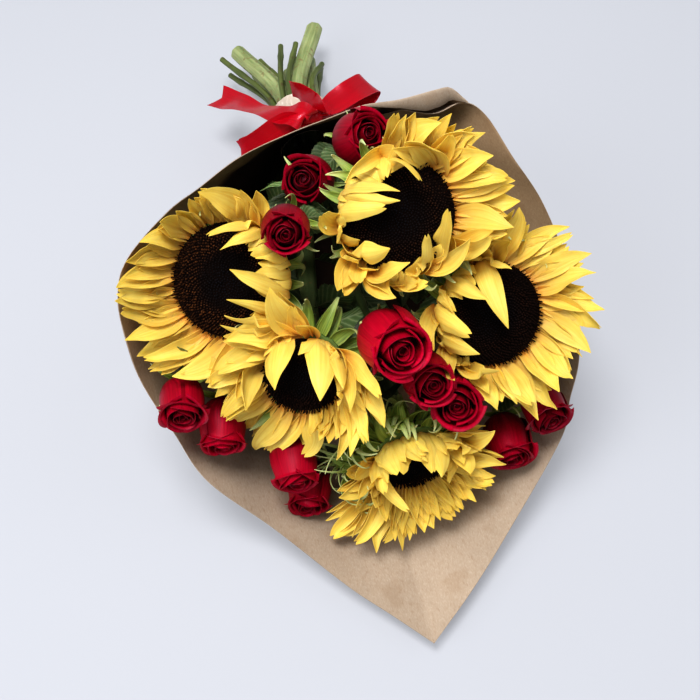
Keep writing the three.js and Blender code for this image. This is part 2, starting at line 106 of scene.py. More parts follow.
def bezier(start, leave, arrive, end, count):
    t = np.linspace(0, 1, count)[:, None]
    return ((1 - t) ** 3 * start + 3 * (1 - t) ** 2 * t * leave
            + 3 * (1 - t) * t**2 * arrive + t**3 * end)


def sides_along(line, side):
    """The direction along a line at each point, and a side direction that is carried along it
    without twist."""
    ahead = unit(np.gradient(line, axis=0))
    sides = []
    for step in ahead:
        side = side - step * (side @ step)
        side = side / np.linalg.norm(side)
        sides.append(side)
    return ahead, np.array(sides)


def turned_about(sides, ahead, angles):
    across = np.cross(ahead, sides)
    angles = np.asarray(angles)[:, None]
    return sides * np.cos(angles) + across * np.sin(angles)


def outline(points, places):
    """A smooth width along a shape: rows of (place, width)."""
    steps = np.linspace(0, 1, OUTLINE_STEPS)
    fine = np.interp(steps, *zip(*points))
    window = 2 * OUTLINE_SOFTNESS + 1
    padded = np.pad(fine, OUTLINE_SOFTNESS, mode="edge")
    soft = np.convolve(padded, np.ones(window) / window, "valid")
    soft[0], soft[-1] = fine[0], fine[-1]
    return np.interp(places, steps, soft)


def blade(line, sides, half, across, normals, rise):
    """A grid of points: out to both sides of a line by its half width, and up by rise."""
    flat = line[:, None] + sides[:, None] * (half[:, None] * across)[..., None]
    return flat + normals[:, None] * rise[..., None]


def standing(right, up, back, place):
    """The matrix of a thing whose X, Y and Z point these ways, at a place in metres."""
    axes = np.eye(4)
    axes[:3, 0], axes[:3, 1], axes[:3, 2], axes[:3, 3] = right, up, back, place
    return Matrix(axes.tolist())


def in_scene(name, data):
    made = bpy.data.objects.new(name, data)
    bpy.context.collection.objects.link(made)
    return made


# ---------------------------------------------------------------- camera
# At the photograph's viewing angle. Pixels are those of the photograph.
CAMERA_FIELD = 35        # degrees
CAMERA_RISE = 60         # degrees over the surface
CAMERA_TURN = -12.5      # degrees
CAMERA_DISTANCE = 740
CAMERA_AIM = np.array([-28.0, -330.0, 190.0])
PHOTO_SIDE = 700

turn, rise = math.radians(CAMERA_TURN), math.radians(CAMERA_RISE)
LOOK = np.array([-math.sin(turn) * math.cos(rise), math.cos(turn) * math.cos(rise),
                 -math.sin(rise)])
LOOK_RIGHT = np.array([math.cos(turn), math.sin(turn), 0.0])
LOOK_UP = np.cross(LOOK_RIGHT, LOOK)
CAMERA_PLACE = CAMERA_AIM - CAMERA_DISTANCE * LOOK
PIXELS = PHOTO_SIDE / 2 / math.tan(math.radians(CAMERA_FIELD / 2))


def sight(x, y):
    """The direction in which the camera sees a pixel of the photograph."""
    right, up = (x - PHOTO_SIDE / 2) / PIXELS, (PHOTO_SIDE / 2 - y) / PIXELS
    return unit(LOOK + LOOK_RIGHT * right + LOOK_UP * up)


def seen_on_plane(pixel, point, facing):
    """The point of a plane that the camera sees at a pixel."""
    ray = sight(*pixel)
    return CAMERA_PLACE + ray * ((point - CAMERA_PLACE) @ facing) / (ray @ facing)


def seen_at_reach(pixel, root, reach):
    """The point at a pixel that is reach from the root: the nearer one, or with a minus the
    farther."""
    ray = sight(*pixel)
    start = CAMERA_PLACE - root
    middle = -(start @ ray)
    closest = start @ start - middle * middle
    half = math.sqrt(max(reach * reach - closest, 0))
    return CAMERA_PLACE + ray * (middle - math.copysign(half, reach))


camera_data = bpy.data.cameras.new("camera")
camera_data.angle = math.radians(CAMERA_FIELD)
camera = in_scene("camera", camera_data)
camera.matrix_world = standing(LOOK_RIGHT, LOOK_UP, -LOOK, metres(CAMERA_PLACE))
bpy.context.scene.camera = camera


# ---------------------------------------------------------------- nodes
def paint(colour):
    """A grey level, 0 to 1, or a colour as the eye reads it, 0 to 255, in the renderer's light."""
    if isinstance(colour, float):
        return (colour, colour, colour, 1.0)
    values = [v / 255 for v in colour]
    light = [v / 12.92 if v <= 0.04045 else ((v + 0.055) / 1.055) ** 2.4 for v in values]
    return (*light, 1.0)


def feed(tree, socket, value):
    """Gives a socket its value: a link from another node's output, or a constant."""
    if isinstance(value, bpy.types.NodeSocket):
        tree.links.new(value, socket)
    else:
        socket.default_value = value


def node(tree, kind, values=None, **settings):
    made = tree.nodes.new(kind)
    for key, value in settings.items():
        setattr(made, key, value)
    for key, value in (values or {}).items():
        feed(tree, made.inputs[key], value)
    return made


def math_node(tree, operation, value, other=0.0):
    return node(tree, "ShaderNodeMath", {0: value, 1: other}, operation=operation).outputs[0]


def times(tree, value, other):
    return math_node(tree, "MULTIPLY", value, other)


def vector_of(tree, x, y=0.0, z=0.0):
    return node(tree, "ShaderNodeCombineXYZ", {"X": x, "Y": y, "Z": z}).outputs[0]


def sum_of(tree, vector, other):
    return node(tree, "ShaderNodeVectorMath", {0: vector, 1: other}, operation="ADD").outputs[0]


def map_range(tree, value, to_low, to_high, from_low=0.0, from_high=1.0):
    return node(tree, "ShaderNodeMapRange", {
        "Value": value, "From Min": from_low, "From Max": from_high,
        "To Min": to_low, "To Max": to_high,
    }).outputs["Result"]


def noise(tree, place, scale, detail, **others):
    values = {"Vector": place, "Scale": scale, "Detail": detail, **others}
    return node(tree, "ShaderNodeTexNoise", values).outputs["Fac"]


def object_place(tree):
    return node(tree, "ShaderNodeTexCoord").outputs["Object"]


def ramp(tree, value, stops):
    """Colours or grey levels by a value: stops are (value, colour)."""
    made = node(tree, "ShaderNodeValToRGB", {"Fac": value})
    marks = made.color_ramp.elements
    while len(marks) < len(stops):
        marks.new(0.5)
    for mark, (place, colour) in zip(marks, stops):
        mark.position = place
        mark.color = paint(colour)
    return made.outputs["Color"]


def mixed(tree, share, under, over, blend="MIX"):
    made = node(tree, "ShaderNodeMix", data_type="RGBA", blend_type=blend)
    for index, value in ((0, share), (6, under), (7, over)):
        feed(tree, made.inputs[index], paint(value) if isinstance(value, tuple) else value)
    return made.outputs[2]


def shared_effect(name, inputs):
    """A node group with named inputs, and the node that takes its one value out."""
    tree = bpy.data.node_groups.new(name, "ShaderNodeTree")
    for label, value in inputs.items():
        kind = "NodeSocketVector" if value is None else "NodeSocketFloat"
        socket = tree.interface.new_socket(label, in_out="INPUT", socket_type=kind)
        if value is not None:
            socket.default_value = value
    tree.interface.new_socket("Value", in_out="OUTPUT", socket_type="NodeSocketFloat")
    return tree, node(tree, "NodeGroupInput").outputs, node(tree, "NodeGroupOutput").inputs["Value"]


# Fine lines that run along a petal, leaf, stem or ribbon. Mark is (across, along, tone).
TONE_SHIFT = 37.0        # moves the lines of one petal away from those of the next
veins, given, result = shared_effect("veins", {"Mark": None, "Lines": 14.0, "Waver": 1.2})
parts = node(veins, "ShaderNodeSeparateXYZ", {0: given["Mark"]}).outputs
line_place = vector_of(veins, times(veins, parts["X"], given["Lines"]),
                       times(veins, parts["Y"], given["Waver"]),
                       times(veins, parts["Z"], TONE_SHIFT))
feed(veins, result, noise(veins, line_place, 1.0, 2.5, Roughness=0.6))

# Soft patches of lighter and darker colour, by place.
patches, given, result = shared_effect("patches", {"Scale": 60.0, "Low": 0.85, "High": 1.1})
cloud = noise(patches, object_place(patches), given["Scale"], 4.0)
feed(patches, result, map_range(patches, cloud, given["Low"], given["High"], 0.3, 0.7))

# Short flecks, as in paper pulp or pollen.
FLECK_STRETCH = (1.0, 0.35, 0.6)
flecks, given, result = shared_effect("flecks", {"Scale": 900.0, "Share": 0.3})
long_way = node(flecks, "ShaderNodeMapping",
                {"Vector": object_place(flecks), "Scale": FLECK_STRETCH})
grains = noise(flecks, long_way.outputs[0], given["Scale"], 2.0)
grains = map_range(flecks, grains, 0.0, 1.0, 0.42, 0.75)
rarity = times(flecks, math_node(flecks, "SUBTRACT", 1.0, given["Share"]), 3.0)
feed(flecks, result, math_node(flecks, "POWER", grains, rarity))


def effect(tree, group, **values):
    made = node(tree, "ShaderNodeGroup", node_tree=group)
    for key, value in values.items():
        feed(tree, made.inputs[key], value)
    return made.outputs["Value"]


def vein_lines(tree, spots, lines, waver):
    return effect(tree, veins, Mark=spots["mark"], Lines=lines, Waver=waver)


def vein_height(lines, waver=1.0):
    return lambda tree, spots: vein_lines(tree, spots, lines, waver)


def fuzz_height(scale):
    return lambda tree, spots: effect(tree, flecks, Scale=scale, Share=0.5)


# ---------------------------------------------------------------- finishes
def finish(name, colour_of, rough, height_of=None, bump=0.3, reach=0.0006, **constants):
    """A material: colour_of and height_of get the node tree and its (across, along, tone) mark."""
    material = bpy.data.materials.new(name)
    material.use_nodes = True
    tree = material.node_tree
    shader = tree.nodes["Principled BSDF"]
    mark = node(tree, "ShaderNodeAttribute", attribute_name="mark").outputs["Vector"]
    parts = node(tree, "ShaderNodeSeparateXYZ", {0: mark}).outputs
    spots = {"mark": mark, "across": parts["X"], "along": parts["Y"], "tone": parts["Z"]}
    feed(tree, shader.inputs["Base Color"], colour_of(tree, spots))
    if height_of:
        height = height_of(tree, spots)
        relief = node(tree, "ShaderNodeBump",
                      {"Height": height, "Strength": bump, "Distance": reach})
        feed(tree, shader.inputs["Normal"], relief.outputs["Normal"])
    shader.inputs["Roughness"].default_value = rough
    for key, value in constants.items():
        shader.inputs[key.replace("_", " ")].default_value = value
    return material


def toned(tree, colour, spots, low, high, scale=60.0):
    """A colour made lighter or darker by the piece's own tone and by soft patches."""
    patch = effect(tree, patches, Scale=scale, Low=0.92, High=1.08)
    level = times(tree, patch, map_range(tree, spots["tone"], low, high))
    made = node(tree, "ShaderNodeVectorMath", {0: colour, "Scale": level}, operation="SCALE")
    return made.outputs[0]


def ray_colour(tree, spots):
    base = ramp(tree, spots["along"], [
        (0.0, (224, 150, 62)), (0.12, (238, 190, 94)), (0.34, (244, 209, 100)),
        (0.75, (246, 215, 106)), (1.0, (244, 208, 94)),
    ])
    lines = vein_lines(tree, spots, 13.0, 1.1)
    lines = ramp(tree, lines, [(0.3, (240, 214, 160)), (0.6, (255, 255, 255))])
    return toned(tree, mixed(tree, 0.6, base, lines, "MULTIPLY"), spots, 0.84, 1.02)


def floret_colour(tree, spots):
    base = ramp(tree, spots["across"], [
        (0.0, (12, 12, 22)), (0.36, (13, 10, 15)), (0.6, (34, 16, 9)), (1.0, (15, 6, 4)),
    ])
    ring = ramp(tree, spots["across"], [(0.48, 0.0), (0.64, 1.0), (0.86, 0.7), (1.0, 0.05)])
    lucky = ramp(tree, spots["along"], [(0.2, 0.12), (0.8, 1.0)])
    pollen = times(tree, times(tree, ring, lucky), spots["tone"])
    return mixed(tree, pollen, base, (104, 62, 30))


def disc_colour(tree, spots):
    spread = effect(tree, patches, Scale=500.0, Low=0.85, High=1.1)
    return ramp(tree, spread, [(0.8, (8, 4, 4)), (1.0, (18, 8, 5))])


RAY_FINISH = finish("ray_petal_yellow", ray_colour, 0.55, vein_height(17.0, 0.8), 0.32, 0.0005,
                    Subsurface_Weight=0.3, Subsurface_Radius=(1.0, 0.75, 0.25),
                    Subsurface_Scale=0.002, Specular_IOR_Level=0.3)
FLORET_FINISH = finish("disc_floret_brown", floret_colour, 0.75, Specular_IOR_Level=0.15)
DISC_FINISH = finish("disc_bed_dark", disc_colour, 0.95, Specular_IOR_Level=0.1)

STEM_MARK = 6            # a stem's marks run from 0 at its cut end to this at its flower


def green_colour(dark, light, lines=9.0, tip=None, blemish=None, shaded=None):
    """A lined green, with a paler tip, brown blemishes, or a darker part inside the cone, which is
    painted shade.
    """
    def colour(tree, spots):
        base = ramp(tree, vein_lines(tree, spots, lines, 1.5), [(0.3, dark), (0.7, light)])
        if tip:
            base = mixed(tree, ramp(tree, spots["along"], [(0.45, 0.0), (0.95, 1.0)]), base, tip)
        if shaded:
            # painted shade: the stem darkens where it runs inside the cone
            inside = times(tree, spots["along"], 1 / STEM_MARK)
            base = mixed(tree, ramp(tree, inside, [(0.16, 0.0), (0.4, 0.85)]), base, shaded)
        if blemish:
            spot = effect(tree, patches, Scale=150.0, Low=0.0, High=1.0)
            base = mixed(tree, ramp(tree, spot, [(0.72, 0.0), (0.95, 0.7)]), base, blemish)
        return toned(tree, base, spots, 0.8, 1.2, 90.0)
    return colour


def hair_colour(tree, spots):
    return toned(tree, ramp(tree, spots["tone"], [(0.0, (205, 210, 170)), (1.0, (226, 228, 205))]),
                 spots, 0.95, 1.05)


def pith_colour(tree, spots):
    rings = ramp(tree, spots["along"], [
        (0.0, (214, 212, 178)), (0.55, (206, 206, 160)), (0.8, (168, 180, 108)),
        (1.0, (120, 138, 64)),
    ])
    return toned(tree, rings, spots, 0.95, 1.05, 400.0)


def leaf_colour(tree, spots):
    middle = math_node(tree, "ABSOLUTE", math_node(tree, "SUBTRACT", spots["across"], 0.5))
    slant = vector_of(tree, math_node(tree, "SUBTRACT", spots["along"], times(tree, middle, 0.55)))
    ribs = node(tree, "ShaderNodeTexWave", {
        "Vector": slant, "Scale": 2.6, "Distortion": 0.6, "Detail": 1.0,
    }).outputs["Fac"]
    base = ramp(tree, ribs, [(0.0, (104, 134, 76)), (0.8, (128, 156, 94)), (1.0, (168, 188, 132))])
    spine = ramp(tree, middle, [(0.0, 1.0), (0.05, 0.0)])
    # tones near 0 make the leaves inside the cone dark, a painted shade
    return toned(tree, mixed(tree, spine, base, (184, 200, 150)), spots, 0.16, 1.1, 80.0)


BRACT_FINISH = finish("bract_green",
                      green_colour((88, 112, 34), (156, 176, 78), tip=(206, 214, 150)), 0.6,
                      vein_height(8.0), 0.4, 0.0005, Subsurface_Weight=0.1, Subsurface_Scale=0.001)
RECEPTACLE_FINISH = finish("receptacle_green", green_colour((84, 112, 50), (124, 152, 80)), 0.75,
                           fuzz_height(700.0), 0.4, 0.0006)
THICK_STEM_FINISH = finish("sunflower_stem_green",
                           green_colour((118, 132, 78), (170, 180, 126), 7.0,
                                        blemish=(122, 100, 62), shaded=(66, 84, 42)), 0.65,
                           fuzz_height(1500.0), 0.5, 0.0006,
                           Subsurface_Weight=0.1, Subsurface_Scale=0.002)
THIN_STEM_FINISH = finish("rose_stem_green",
                          green_colour((58, 70, 30), (100, 112, 54), 5.0,
                                       blemish=(76, 58, 34), shaded=(50, 66, 32)), 0.5,
                          vein_height(5.0), 0.3, 0.0004)
HAIR_FINISH = finish("stem_hair_pale", hair_colour, 0.6)
PITH_FINISH = finish("cut_end_pith", pith_colour, 0.85, fuzz_height(1200.0), 0.5, 0.0005)
LEAF_FINISH = finish("leaf_green", leaf_colour, 0.5, vein_height(20.0, 20.0), 0.25, 0.0004,
                     Subsurface_Weight=0.15, Subsurface_Scale=0.001)


def rose_colour(tree, spots):
    # painted shade: each petal darkens towards its foot, deep inside the bloom
    base = ramp(tree, spots["along"], [
        (0.0, (48, 0, 9)), (0.35, (112, 0, 20)), (0.72, (162, 0, 34)), (0.92, (184, 4, 50)),
        (1.0, (146, 0, 34)),
    ])
    lines = vein_lines(tree, spots, 26.0, 1.6)
    lines = ramp(tree, lines, [(0.3, (86, 0, 12)), (0.7, (204, 4, 48))])
    return toned(tree, mixed(tree, 0.3, base, lines), spots, 0.4, 1.4, 45.0)


def satin_colour(tree, spots):
    weave = vein_lines(tree, spots, 140.0, 2.0)
    return toned(tree, ramp(tree, weave, [(0.3, (150, 0, 14)), (0.7, (190, 0, 28))]),
                 spots, 0.95, 1.05, 30.0)


def kraft_colour(tree, spots):
    light = effect(tree, flecks, Scale=1300.0, Share=0.5)
    dark = effect(tree, flecks, Scale=700.0, Share=0.15)
    base = mixed(tree, times(tree, light, 0.55), (171, 152, 132), (193, 178, 160))
    base = mixed(tree, times(tree, dark, 0.45), base, (140, 110, 84))
    stain = effect(tree, patches, Scale=26.0, Low=0.0, High=1.0)
    base = mixed(tree, ramp(tree, stain, [(0.68, 0.0), (0.86, 0.3)]), base, (150, 124, 98))
    # painted light and shade inside the cone: by the across mark the inside first turns warmer, a
    # painted yellow bounce from the petals, then dark towards the neck, a painted shade
    inner_painted_shade = ramp(tree, spots["across"], [
        (0.0, (255, 255, 255)), (0.4, (246, 230, 206)), (1.0, (88, 64, 46)),
    ])
    return toned(tree, mixed(tree, 1.0, base, inner_painted_shade, "MULTIPLY"), spots, 0.5, 1.5, 14.0)


def kraft_height(tree, spots):
    fibres = times(tree, effect(tree, flecks, Scale=900.0, Share=0.4), 0.12)
    dents = times(tree, noise(tree, object_place(tree), 28.0, 3.0), 2.2)
    return math_node(tree, "ADD", fibres, dents)


def tape_colour(tree, spots):
    light = effect(tree, flecks, Scale=500.0, Share=0.4)
    base = mixed(tree, light, (198, 182, 166), (226, 214, 202))
    return toned(tree, base, spots, 1.0, 1.0, 50.0)


RED_GLOW = {"Subsurface_Radius": (1.0, 0.1, 0.1), "Subsurface_Scale": 0.001}
ROSE_FINISH = finish("rose_petal_red", rose_colour, 0.48, vein_height(30.0, 1.4), 0.2, 0.0004,
                     Subsurface_Weight=0.1, Specular_IOR_Level=0.3,
                     Specular_Tint=(1.0, 0.35, 0.5, 1.0), **RED_GLOW)
SATIN_FINISH = finish("satin_ribbon_red", satin_colour, 0.24, vein_height(180.0, 3.0), 0.12, 0.0002,
                      Subsurface_Weight=0.15, Specular_IOR_Level=0.9,
                      Specular_Tint=(1.0, 0.32, 0.42, 1.0), **RED_GLOW)
KRAFT_FINISH = finish("kraft_paper_brown", kraft_colour, 0.8, kraft_height, 0.5, 0.0009)
TAPE_FINISH = finish("paper_tape_cream", tape_colour, 0.75, fuzz_height(420.0), 0.6, 0.0008)


# ---------------------------------------------------------------- pieces
def carried(piece, nodes=()):
    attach(piece, "root")
    if nodes:
        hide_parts(*nodes)


def piece_from(name, points, faces, finish_of, marks, crease=55):
    """An object from points in millimetres and arrays of faces, each array of one corner count."""
    mesh = bpy.data.meshes.new(name)
    corners = np.concatenate([group.ravel() for group in faces])
    sizes = np.concatenate([np.full(len(group), group.shape[1]) for group in faces])
    starts = np.concatenate([[0], np.cumsum(sizes)[:-1]])
    mesh.vertices.add(len(points))
    mesh.vertices.foreach_set("co", metres(points).ravel())
    mesh.loops.add(len(corners))
    mesh.loops.foreach_set("vertex_index", corners.astype(np.int32))
    mesh.polygons.add(len(sizes))
    mesh.polygons.foreach_set("loop_start", starts.astype(np.int32))
    mesh.update(calc_edges=True)
    mesh.polygons.foreach_set("use_smooth", np.ones(len(sizes), bool))
    mesh.set_sharp_from_angle(angle=math.radians(crease))
    held = mesh.attributes.new("mark", "FLOAT_VECTOR", "POINT")
    held.data.foreach_set("vector", np.asarray(marks, float).ravel())
    mesh.materials.append(finish_of)
    return in_scene(name, mesh)


def even_marks(rows, columns, tone):
    """The marks of a grid: 0 to 1 across it, 0 to 1 along it, and one tone."""
    marks = np.zeros((rows, columns, 3))
    marks[..., 0] = np.linspace(0, 1, columns)
    marks[..., 1] = np.linspace(0, 1, rows)[:, None]
    marks[..., 2] = tone
    return marks


class Walls:
    """Gathers closed bodies in one mesh. A grid of points has rows along it and columns across
    it, and its front faces the way that columns cross rows point."""

    def __init__(self):
        self.points, self.marks, self.quads, self.fans, self.count = [], [], [], [], 0

    def add(self, front, thickness, tone=0.5, marks=None, back_marks=None):
        """A thin wall behind a grid, closed round its rim."""
        rows, columns = front.shape[:2]
        facing = unit(np.cross(np.gradient(front, axis=1), np.gradient(front, axis=0)))
        back = front - facing * thickness
        if marks is None:
            marks = even_marks(rows, columns, tone)
        index = np.arange(rows * columns).reshape(rows, columns)
        a, b, c, d = index[:-1, :-1], index[:-1, 1:], index[1:, 1:], index[1:, :-1]
        face = np.stack([a, b, c, d], -1).reshape(-1, 4)
        size = rows * columns
        loop = np.concatenate([index[0, :-1], index[:-1, -1], index[-1, :0:-1], index[:0:-1, 0]])
        after = np.roll(loop, -1)
        rim = np.stack([loop, loop + size, after + size, after], -1)
        self.quads += [face + self.count, face[:, ::-1] + size + self.count, rim + self.count]
        self.points += [front.reshape(-1, 3), back.reshape(-1, 3)]
        back_marks = marks if back_marks is None else back_marks
        self.marks += [marks.reshape(-1, 3), back_marks.reshape(-1, 3)]
        self.count += 2 * size

    def solid(self, rings, marks=None):
        """A closed body through rings of points, with a fan over each end."""
        rings = np.asarray(rings)
        rows, columns = rings.shape[:2]
        index = np.arange(rows * columns).reshape(rows, columns) + self.count
        beside = np.roll(index, -1, axis=1)
        low, high = (np.full(columns, self.count + rows * columns + end) for end in (0, 1))
        side = np.stack([index[:-1], beside[:-1], beside[1:], index[1:]], -1)
        self.quads.append(side.reshape(-1, 4))
        self.fans.append(np.stack([index[0], low, beside[0]], -1))
        self.fans.append(np.stack([index[-1], beside[-1], high], -1))
        self.points += [rings.reshape(-1, 3), rings[0].mean(0)[None], rings[-1].mean(0)[None]]
        if marks is None:
            marks = even_marks(rows, columns, 0.5)
        self.marks += [marks.reshape(-1, 3), marks[0, :1], marks[-1, :1]]
        self.count += rows * columns + 2

    def piece(self, name, finish_of, crease=55):
        faces = [np.concatenate(group) for group in (self.quads, self.fans) if group]
        return piece_from(name, np.concatenate(self.points), faces, finish_of,
                          np.concatenate(self.marks), crease)


def growing_tree(name, inputs):
    """A tree that takes a shape, these named values and a material, and gives a shape."""
    tree = bpy.data.node_groups.new(name, "GeometryNodeTree")
    sockets = tree.interface
    sockets.new_socket("Geometry", in_out="INPUT", socket_type="NodeSocketGeometry")
    for label, value in inputs.items():
        kind = "NodeSocketInt" if isinstance(value, int) else "NodeSocketFloat"
        sockets.new_socket(label, in_out="INPUT", socket_type=kind).default_value = value
    sockets.new_socket("Material", in_out="INPUT", socket_type="NodeSocketMaterial")
    sockets.new_socket("Geometry", in_out="OUTPUT", socket_type="NodeSocketGeometry")
    return tree, node(tree, "NodeGroupInput").outputs


def finished_tree(tree, shape, material):
    """Ends a tree: its copies are made real and get their material."""
    real = node(tree, "GeometryNodeRealizeInstances", {0: shape})
    painted = node(tree, "GeometryNodeSetMaterial", {0: real.outputs[0], "Material": material})
    node(tree, "NodeGroupOutput", {0: painted.outputs[0]})
    return tree


def random_value(tree, seed, low, high):
    """A random number, or with two vectors a random vector, for each point."""
    first, kind = (0, "FLOAT_VECTOR") if isinstance(low, tuple) else (2, "FLOAT")
    made = node(tree, "FunctionNodeRandomValue", {"Seed": seed}, data_type=kind)
    made.inputs[first].default_value, made.inputs[first + 1].default_value = low, high
    return made.outputs[0 if first == 0 else 1]


def stored(tree, shape, name, value, kind="FLOAT_VECTOR", domain="POINT"):
    return node(tree, "GeometryNodeStoreNamedAttribute", {
        "Geometry": shape, "Name": name, "Value": value,
    }, data_type=kind, domain=domain).outputs[0]


def planted(tree, points, thing, way, scale):
    """Copies of a thing on points, each standing along its own way."""
    stand = node(tree, "FunctionNodeAlignRotationToVector", {"Vector": way}, axis="Z")
    return node(tree, "GeometryNodeInstanceOnPoints", {
        "Points": points, "Instance": thing, "Rotation": stand.outputs[0], "Scale": scale,
    }).outputs[0]


def grown(name, tree, values, base=None):
    """Runs a geometry tree once and returns its result as a plain object."""
    carrier = in_scene(name + "_carrier", base or bpy.data.meshes.new(name + "_base"))
    modifier = carrier.modifiers.new("grow", "NODES")
    modifier.node_group = tree
    sockets = [item for item in tree.interface.items_tree if item.in_out == "INPUT"]
    labels = {socket.name: socket.identifier for socket in sockets}
    for label, value in values.items():
        modifier[labels[label]] = value
    ready = carrier.evaluated_get(bpy.context.evaluated_depsgraph_get())
    mesh = bpy.data.meshes.new_from_object(ready)
    mesh.name = name
    bpy.data.objects.remove(carrier)
    return in_scene(name, mesh)


# ---------------------------------------------------------------- sunflowers: where they are
# The first two are the face's middle and the way it faces, the next two the stem's angle in the
# binding and its cut end. Pollen is how golden the disc's ring is.
Sunflower = namedtuple("Sunflower", "name centre faces slot cut disc pollen seed")
SUNFLOWERS = [
    Sunflower("sunflower_top", (21, -257, 230), (-0.17, -0.58, 0.8), 80,
              (36, 122, 38), 38.5, 0.25, 11),
    Sunflower("sunflower_left", (-97, -262, 196), (-0.22, -0.6, 0.77), 152,
              (-43, 110, 34), 40, 1.0, 12),
    Sunflower("sunflower_right", (78, -309, 166), (0.03, -0.64, 0.77), 8,
              (24, 100, 18), 37, 0.05, 13),
    Sunflower("sunflower_middle", (-60, -322, 152), (-0.25, -0.8, 0.55), 224,
              (-26, 98, 14), 28.5, 0.05, 14),
    Sunflower("sunflower_front", (12, -368, 72), (0.05, -0.97, 0.22), 296,
              (4, 92, 12), 26, 0.05, 15),
]

